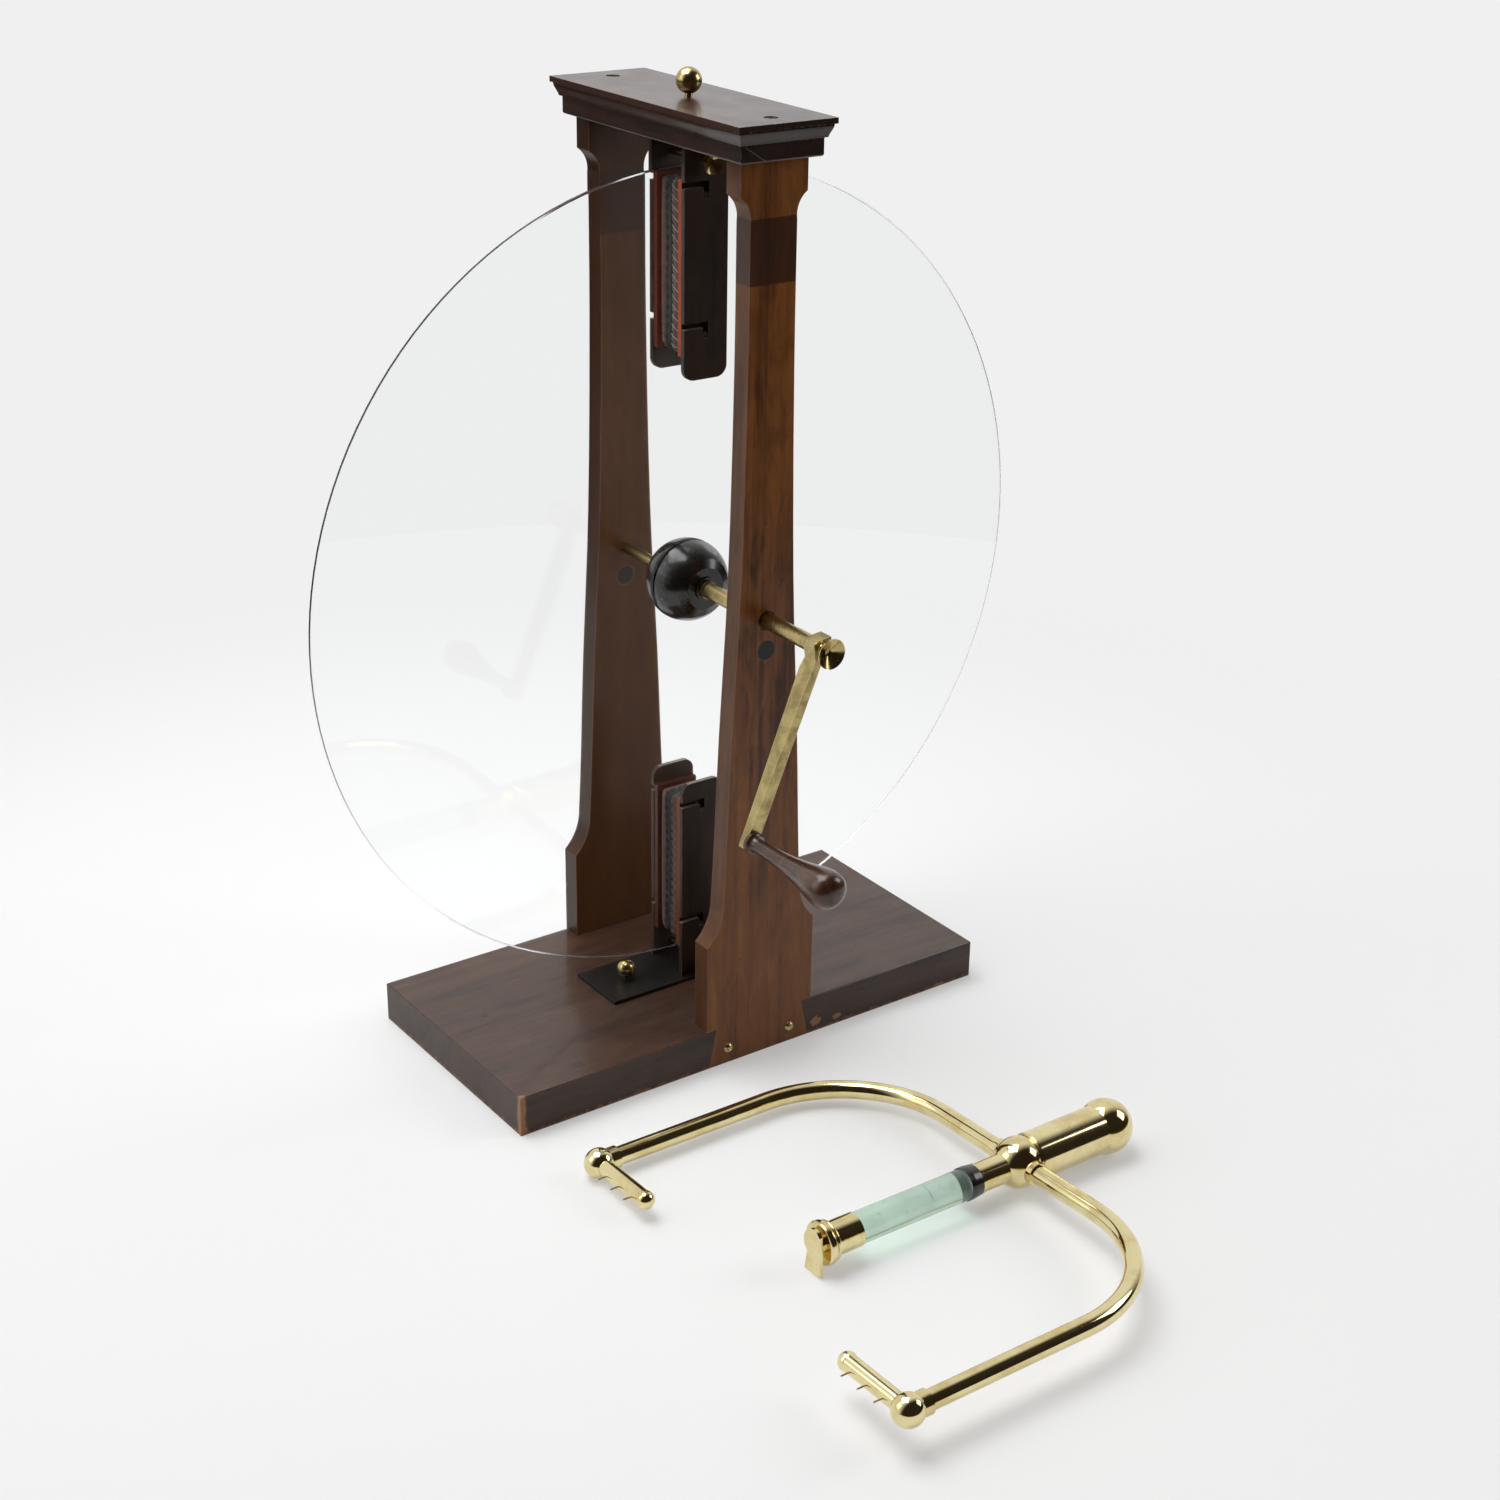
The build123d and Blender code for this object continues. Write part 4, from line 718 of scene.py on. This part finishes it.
def stuffed(name, node, rubbers):
    """A cushion blown up from its CAD shape with cloth, held flat where it is glued to its back."""
    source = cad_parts[node].data.copy()
    pad = bpy.data.objects.new(name, source)
    bpy.context.scene.collection.objects.link(pad)
    low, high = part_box(node)
    side = 1.0 if low.y > 0 else -1.0
    back_y = high.y if side > 0 else low.y
    centre = (low + high) / 2
    bpy.context.view_layer.objects.active = pad
    for vertex in pad.data.vertices:
        away = vertex.co - centre
        for axis in (0, 2):
            half = (high[axis] - low[axis]) / 2
            away[axis] *= (half - rubbers.shrink) / half
        vertex.co = centre + away
    remesh = pad.modifiers.new("remesh", "REMESH")
    remesh.mode = "VOXEL"
    remesh.voxel_size = 0.0017
    apply_modifiers(pad)
    start = [vertex.co.copy() for vertex in pad.data.vertices]
    stuff_with_cloth(pad, back_y)
    for vertex, place in zip(pad.data.vertices, start):
        move = vertex.co - place
        if move.length > rubbers.swell_limit:
            vertex.co = place + move.normalized() * rubbers.swell_limit
    smooth = pad.modifiers.new("round", "SUBSURF")
    smooth.levels = 1
    apply_modifiers(pad)
    face_y = (low.y if side > 0 else -high.y)
    for vertex in pad.data.vertices:
        depth = min(max(vertex.co.y * side, face_y), back_y * side)
        vertex.co.y = depth * side
        vertex.co.x = min(max(vertex.co.x, low.x), high.x)
        vertex.co.z = min(max(vertex.co.z, low.z), high.z)
    pad.data.polygons.foreach_set("use_smooth", [True] * len(pad.data.polygons))
    pad.data.materials.clear()
    return pad


def stuff_with_cloth(pad, back_y):
    glued = pad.vertex_groups.new(name="glued")
    held = [v.index for v in pad.data.vertices if abs(v.co.y - back_y) < 0.0009]
    glued.add(held, 1.0, "REPLACE")
    cloth = pad.modifiers.new("cloth", "CLOTH")
    cloth.settings.vertex_group_mass = "glued"
    cloth.settings.use_pressure = True
    cloth.settings.uniform_pressure_force = 4.0
    cloth.settings.effector_weights.gravity = 0.0
    cloth.settings.quality = 6
    cloth.collision_settings.use_collision = False
    for step in range(1, 21):
        bpy.context.scene.frame_set(step)
    apply_modifiers(pad)
    bpy.context.scene.frame_set(1)
    pad.vertex_groups.clear()


def apply_modifiers(piece):
    """Bakes a piece's modifiers into its mesh."""
    seen = piece.evaluated_get(bpy.context.evaluated_depsgraph_get())
    mesh = bpy.data.meshes.new_from_object(seen)
    piece.modifiers.clear()
    piece.data = mesh


def rounded_loop(half_x, low_z, high_z, corner, pitch):
    """Places and outward ways round an upright rounded rectangle, eight to each pitch."""
    straight_x = 2 * (half_x - corner)
    straight_z = high_z - low_z - 2 * corner
    arc = math.pi / 2 * corner
    around = 2 * (straight_x + straight_z) + 4 * arc
    count = max(8, round(around / pitch)) * 8
    runs = []
    corners = (
        (half_x - corner, low_z + corner, -90.0, (0.0, 1.0), straight_z),
        (half_x - corner, high_z - corner, 0.0, (-1.0, 0.0), straight_x),
        (corner - half_x, high_z - corner, 90.0, (0.0, -1.0), straight_z),
        (corner - half_x, low_z + corner, 180.0, (1.0, 0.0), straight_x),
    )
    for index in range(count):
        travel = around * index / count
        for centre_x, centre_z, start, way, straight in corners:
            if travel <= arc + straight:
                turned = math.radians(start) + min(travel, arc) / corner
                out = Vector((math.cos(turned), 0.0, math.sin(turned)))
                past = max(0.0, travel - arc)
                place = Vector((centre_x + way[0] * past, 0.0, centre_z + way[1] * past))
                runs.append((place + out * corner, out))
                break
            travel -= arc + straight
    return runs


def surface_at(tree, place, out, reach=0.03):
    """The point where a ray from outside meets the cushion."""
    hit, normal, index, distance = tree.ray_cast(place + out * reach, -out)
    return place if hit is None else hit


def sewn_edge(name, pad, node, rubbers):
    """The turned leather edge round the face, drawn in at every stitch."""
    low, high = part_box(node)
    side = 1.0 if low.y > 0 else -1.0
    face_y = low.y if side > 0 else high.y
    tree = BVHTree.FromPolygons([v.co for v in pad.data.vertices],
                                [p.vertices for p in pad.data.polygons])
    loop = rounded_loop((high.x - low.x) / 2, low.z, high.z, 0.004, rubbers.stitch_pitch)
    shape = bmesh.new()
    points = []
    radii = []
    for index, (place, out) in enumerate(loop):
        place.y = face_y + side * rubbers.lip_inset
        drawn = 0.5 + 0.5 * math.cos(math.tau * index / 8)
        wander = 0.0002 * math.sin(index * 0.9)
        meet = surface_at(tree, place, out)
        points.append(meet - out * (rubbers.lip_radius * (0.35 + 0.3 * drawn)) + Vector((0, wander, 0)))
        radii.append(rubbers.lip_radius * (1.0 - 0.34 * drawn))
    add_tube(shape, points, radii, 10, True)
    return made_mesh(name, shape), tree, loop


def whip_stitches(name, tree, loop, node, rubbers):
    """Slanting threads from the turned edge to the back, one at each draw of the edge."""
    low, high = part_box(node)
    side = 1.0 if low.y > 0 else -1.0
    face_y = low.y if side > 0 else high.y
    back_y = high.y if side > 0 else low.y
    shape = bmesh.new()
    slant_steps = round(rubbers.stitch_slant / rubbers.stitch_pitch * 8)
    for index in range(0, len(loop), 8):
        points = []
        for step in range(6):
            travel = step / 5
            place, out = loop[(index + round(slant_steps * travel)) % len(loop)]
            begin = face_y + side * (rubbers.lip_inset - rubbers.lip_radius * 0.8)
            place = place.copy()
            place.y = begin + (back_y - side * 0.0003 - begin) * travel
            meet = surface_at(tree, place, out)
            lift = rubbers.lip_radius if step < 2 else rubbers.thread_radius
            points.append(meet + out * (lift * 0.7))
        jitter = 1.0 + 0.12 * math.sin(index * 1.7)
        add_tube(shape, points, [rubbers.thread_radius * jitter] * len(points), 6, False)
    return made_mesh(name, shape)


def slotted(name, node, slots):
    """A copy of a node's screws with a driver's slot cut across each head."""
    screws = bpy.data.objects.new(name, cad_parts[node].data.copy())
    bpy.context.scene.collection.objects.link(screws)
    cutters = bmesh.new()
    for centre, size, turn, facing in slots:
        box = bmesh.ops.create_cube(cutters, size=1.0)
        matrix = Matrix.Translation(centre) @ Matrix.Rotation(turn, 4, facing)
        matrix = matrix @ Matrix.Diagonal((*size, 1.0))
        bmesh.ops.transform(cutters, matrix=matrix, verts=box["verts"])
    tool = made_mesh(name + "_cutter", cutters)
    cut = screws.modifiers.new("slots", "BOOLEAN")
    cut.operation = "DIFFERENCE"
    cut.solver = "EXACT"
    cut.object = tool
    apply_modifiers(screws)
    bpy.data.objects.remove(tool)
    screws.data.materials.clear()
    return screws


class MachineOperator:
    """What every step of the machine shares."""

    bl_options = {"REGISTER", "UNDO"}

    @property
    def settings(self):
        return bpy.context.scene

    def done(self):
        return {"FINISHED"}


class MACHINE_OT_frame_woods(MachineOperator, bpy.types.Operator):
    """Polish the base, pillars, cornice and boards"""

    bl_idname = "machine.frame_woods"
    bl_label = "Frame Woods"

    def execute(self, context):
        woods = context.scene.machine_woods
        dress(base_wood(woods), "base")
        # The rear pillar is painted darker, as painted shade, by its lower share.
        dress(pillar_wood(woods, "front_pillar_mahogany", 2.0, 1.0), "front_pillar")
        dress(pillar_wood(woods, "rear_pillar_mahogany", 16.0, 0.3), "rear_pillar")
        dress(cornice_wood(woods), "cornice")
        dress(board_wood(woods), "upper_front_board", "upper_rear_board",
              "lower_front_board", "lower_rear_board")
        return self.done()


class MACHINE_OT_black_woods(MachineOperator, bpy.types.Operator):
    """Ebonise the hub cheeks, collars, panel and plugs"""

    bl_idname = "machine.black_woods"
    bl_label = "Black Woods"

    def execute(self, context):
        woods = context.scene.machine_woods
        dress(turned_black(woods, "ebonised_hub", 0.6), "hub_front", "hub_rear", "hub_collar", "rod_collar")
        dress(turned_black(woods, "ebonised_panel", 0.1), "base_panel", "pillar_plugs")
        return self.done()


class MACHINE_OT_grip(MachineOperator, bpy.types.Operator):
    """Polish the turned grip"""

    bl_idname = "machine.grip"
    bl_label = "Grip"

    def execute(self, context):
        dress(grip_wood(context.scene.machine_woods), "handle_grip")
        return self.done()


class MACHINE_OT_old_brass(MachineOperator, bpy.types.Operator):
    """Finish the axle, crank, balls, clamps and comb pins in aged brass"""

    bl_idname = "machine.old_brass"
    bl_label = "Old Brass"

    def execute(self, context):
        metals = context.scene.machine_metals
        dress(aged_brass(metals, "crank_brass", 0.55, 1.0, (300.0, 300.0, 1400.0)), "crank_arm")
        dress(aged_brass(metals, "turned_brass", 0.5, 4.0, (60.0, 1800.0, 60.0)), "axle",
              "handle_spindle", "upper_clamp_bolt", "lower_clamp_bolt")
        dress(aged_brass(metals, "knob_brass", 0.2, 6.0, rough=0.13), "crank_nut",
              "upper_clamp_knob", "lower_clamp_knob")
        dress(aged_brass(metals, "ball_brass", 0.1, 9.0, rough=0.18), "top_ball", "lower_ball")
        dress(aged_brass(metals, "pin_brass", 1.0, 3.0), "comb_pins")
        return self.done()


class MACHINE_OT_screws(MachineOperator, bpy.types.Operator):
    """Cut driver slots in the screws and finish them"""

    bl_idname = "machine.screws"
    bl_label = "Screws"

    def execute(self, context):
        metals = context.scene.machine_metals
        low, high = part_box("pillar_screws")
        radius = 0.0039
        level = (low.z + high.z) / 2
        slots = []
        for x, turn in ((low.x + radius, 12.0), (high.x - radius, 78.0)):
            for y in (low.y, high.y):
                slots.append((Vector((x, y, level)), (0.012, 0.0026, 0.0009), math.radians(turn), "Y"))
        screws = slotted("pillar_screw_heads", "pillar_screws", slots)
        screws.data.materials.append(aged_brass(metals, "screw_brass", 0.75, 6.0))
        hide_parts("pillar_screws")
        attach(screws, "frame")

        low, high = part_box("cornice_screws")
        slots = []
        for y, turn in ((low.y + 0.005, 35.0), (high.y - 0.005, -20.0)):
            slots.append((Vector((0.0, y, high.z)), (0.012, 0.001, 0.0024), math.radians(turn), "Z"))
        long_screws = slotted("cornice_screw_heads", "cornice_screws", slots)
        steel = dark_steel(metals)
        long_screws.data.materials.append(steel)
        dress(steel, "upper_front_rubber_pegs", "upper_rear_rubber_pegs", "lower_front_rubber_pegs",
              "lower_rear_rubber_pegs")
        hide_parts("cornice_screws")
        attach(long_screws, "frame")
        return self.done()


class MACHINE_OT_conductor(MachineOperator, bpy.types.Operator):
    """Polish the conductor's brass"""

    bl_idname = "machine.conductor"
    bl_label = "Conductor"

    def execute(self, context):
        metals = context.scene.machine_metals
        turned = (1800.0, 50.0, 50.0)
        dress(bright_brass(metals, "conductor_tube_brass", turned), "barrel", "rod_ferrule",
              "conductor_foot")
        dress(bright_brass(metals, "conductor_ball_brass"), "centre_ball", "barrel_cap",
              "left_comb", "right_comb")
        dress(bright_brass(metals, "conductor_arm_brass", (200.0, 200.0, 1400.0)), "left_arm",
              "right_arm")
        return self.done()


class MACHINE_OT_glass(MachineOperator, bpy.types.Operator):
    """Finish the plate and the insulating rod"""

    bl_idname = "machine.glass"
    bl_label = "Glass"

    def execute(self, context):
        metals = context.scene.machine_metals
        dress(plate_glass(metals), "plate")
        dress(rod_glass(metals), "glass_rod")
        return self.done()


class MACHINE_OT_rubbers(MachineOperator, bpy.types.Operator):
    """Lacquer the rubber backs, and stuff and sew the four cushions"""

    bl_idname = "machine.rubbers"
    bl_label = "Rubbers"

    def execute(self, context):
        rubbers = context.scene.machine_rubbers
        woods = context.scene.machine_woods
        # Each rubber's share of darkening: soot, and in the larger shares also painted shade.
        for place, soot_and_shade in (("upper_front", 0.1), ("upper_rear", 0.88), ("lower_front", 0.6),
                            ("lower_rear", 0.97)):
            body = place + "_rubber"
            node = place + "_cushion"
            dress(red_lacquer(rubbers, woods, body + "_back", soot_and_shade), body + "_back")
            low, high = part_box(node)
            side = 1.0 if low.y > 0 else -1.0
            pad = stuffed(place + "_pad", node, rubbers)
            face_y = low.y if side > 0 else high.y
            pad.data.materials.append(rubber_leather(rubbers, place + "_leather", face_y, side, soot_and_shade))
            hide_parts(node)
            edge, tree, loop = sewn_edge(place + "_sewn_edge", pad, node, rubbers)
            edge.data.materials.append(lip_leather(rubbers, place + "_lip", soot_and_shade))
            stitches = whip_stitches(place + "_stitches", tree, loop, node, rubbers)
            stitches.data.materials.append(linen_thread(rubbers, place + "_thread", min(1.0, soot_and_shade * 1.3)))
            for piece in (pad, edge, stitches):
                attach(piece, body)
        return self.done()


class MACHINE_OT_stage(MachineOperator, bpy.types.Operator):
    """Lay the pale floor, and set the room, the lamps and the camera"""

    bl_idname = "machine.stage"
    bl_label = "Stage"

    def execute(self, context):
        studio = context.scene.machine_studio
        self.lay_floor(studio)
        self.light_room(context.scene, studio)
        self.hang_lamps(context.scene, studio)
        self.set_camera(context.scene)
        context.scene.view_settings.view_transform = "Standard"
        return self.done()

    def lay_floor(self, studio):
        """A paper disc whose far part shows its own colour, so that it runs into the backdrop."""
        shape = bmesh.new()
        bmesh.ops.create_circle(shape, cap_ends=True, segments=128, radius=studio.floor_radius)
        floor = made_mesh("floor", shape)
        recipe = finish("studio_floor")
        reach = (recipe.x ** 2.0 + recipe.y ** 2.0) ** 0.5 / studio.floor_radius
        lost = recipe.rise(reach, 0.5, 0.95)
        matt = recipe.node("ShaderNodeBsdfDiffuse", inputs={"Color": tuple(studio.floor)})
        lit = recipe.node("ShaderNodeEmission", inputs={"Color": tuple(studio.floor), "Strength": 1.0})
        own = self.seen(recipe) * (studio.glow + lost * (1.0 - studio.glow))
        floor.data.materials.append(
            recipe.output(recipe.node("ShaderNodeMixShader", inputs={0: own, 1: matt, 2: lit}))
        )

    def seen(self, recipe):
        """1 for what is looked at straight, in a mirror or through glass."""
        path = recipe.node("ShaderNodeLightPath")
        return path.out("Is Camera Ray").most(path.out("Is Transmission Ray")).most(
            path.out("Is Glossy Ray"))

    def light_room(self, scene, studio):
        """A pale backdrop behind the machine and a dark room on the camera's side.

        The camera, and what it sees through glass, finds the backdrop's colour all round.
        """
        scene.world = bpy.data.worlds.new("studio_room")
        recipe = Recipe(scene.world, "Generated")
        path = recipe.node("ShaderNodeLightPath")
        behind = recipe.rise(recipe.y, -0.25, 0.3) * recipe.rise(recipe.z, -0.12, 0.02)
        mirrored = recipe.mix(behind, studio.room, studio.floor)
        light = recipe.mix(behind, studio.room, studio.backdrop)
        room = recipe.mix(path.out("Is Glossy Ray"), light, mirrored)
        straight = path.out("Is Camera Ray").most(path.out("Is Transmission Ray"))
        shown = recipe.mix(straight, room, studio.floor)
        recipe.output(
            recipe.node("ShaderNodeBackground", inputs={"Color": shown}), "ShaderNodeOutputWorld"
        )

    def hang_lamps(self, scene, studio):
        lamps = (
            ("overhead_box", (-0.45, 0.5, 2.3), (0.0, 0.0, 0.2), 1.6, studio.overhead_power),
            ("side_box", (-2.2, 0.9, 1.5), (0.0, -0.1, 0.3), 1.4, studio.side_power),
            ("fill_box", (2.2, -1.2, 1.5), (0.0, 0.0, 0.3), 1.2, studio.fill_power),
        )
        for name, place, target, size, power in lamps:
            data = bpy.data.lights.new(name, "AREA")
            data.shape = "SQUARE"
            data.size = size
            data.energy = power
            lamp = bpy.data.objects.new(name, data)
            lamp.location = place
            way = Vector(target) - Vector(place)
            lamp.rotation_euler = way.to_track_quat("-Z", "Y").to_euler()
            scene.collection.objects.link(lamp)

    def set_camera(self, scene):
        view = scene.machine_view
        back = Vector((
            math.sin(view.azimuth) * math.cos(view.elevation),
            -math.cos(view.azimuth) * math.cos(view.elevation),
            math.sin(view.elevation),
        ))
        level = Vector((math.cos(view.azimuth), math.sin(view.azimuth), 0.0))
        upward = back.cross(level)
        right = level * math.cos(view.roll) + upward * math.sin(view.roll)
        up = upward * math.cos(view.roll) - level * math.sin(view.roll)
        data = bpy.data.cameras.new("photo_camera")
        data.sensor_width = 36.0
        data.lens = view.lens
        data.shift_x = view.shift_x
        data.shift_y = view.shift_y
        data.clip_end = 60.0
        camera = bpy.data.objects.new("photo_camera", data)
        scene.collection.objects.link(camera)
        turn = Matrix((right, up, back)).transposed()
        camera.matrix_world = Matrix.Translation(view.place) @ turn.to_4x4()
        scene.camera = camera


STEPS = (
    MACHINE_OT_stage,
    MACHINE_OT_frame_woods,
    MACHINE_OT_black_woods,
    MACHINE_OT_grip,
    MACHINE_OT_old_brass,
    MACHINE_OT_screws,
    MACHINE_OT_conductor,
    MACHINE_OT_glass,
    MACHINE_OT_rubbers,
)

GROUPS = (
    ("machine_woods", MachineWoods),
    ("machine_metals", MachineMetals),
    ("machine_rubbers", MachineRubbers),
    ("machine_view", MachineView),
    ("machine_studio", MachineStudio),
)


class MACHINE_PT_steps(bpy.types.Panel):
    """The machine's finishes and steps"""

    bl_label = "Electrical Machine"
    bl_idname = "MACHINE_PT_steps"
    bl_space_type = "VIEW_3D"
    bl_region_type = "UI"
    bl_category = "Machine"

    def draw(self, context):
        for step in STEPS:
            self.layout.operator(step.bl_idname)
        for name, group in GROUPS:
            box = self.layout.box()
            box.label(text=group.__doc__)
            for key in group.__annotations__:
                box.prop(getattr(context.scene, name), key)


def register():
    for name, group in GROUPS:
        bpy.utils.register_class(group)
        setattr(bpy.types.Scene, name, bpy.props.PointerProperty(type=group))
    for step in STEPS:
        bpy.utils.register_class(step)
    bpy.utils.register_class(MACHINE_PT_steps)


def unregister():
    bpy.utils.unregister_class(MACHINE_PT_steps)
    for step in reversed(STEPS):
        bpy.utils.unregister_class(step)
    for name, group in reversed(GROUPS):
        delattr(bpy.types.Scene, name)
        bpy.utils.unregister_class(group)


def main():
    register()
    for step in STEPS:
        group, name = step.bl_idname.split(".")
        getattr(getattr(bpy.ops, group), name)()


if __name__ == "__main__":
    main()
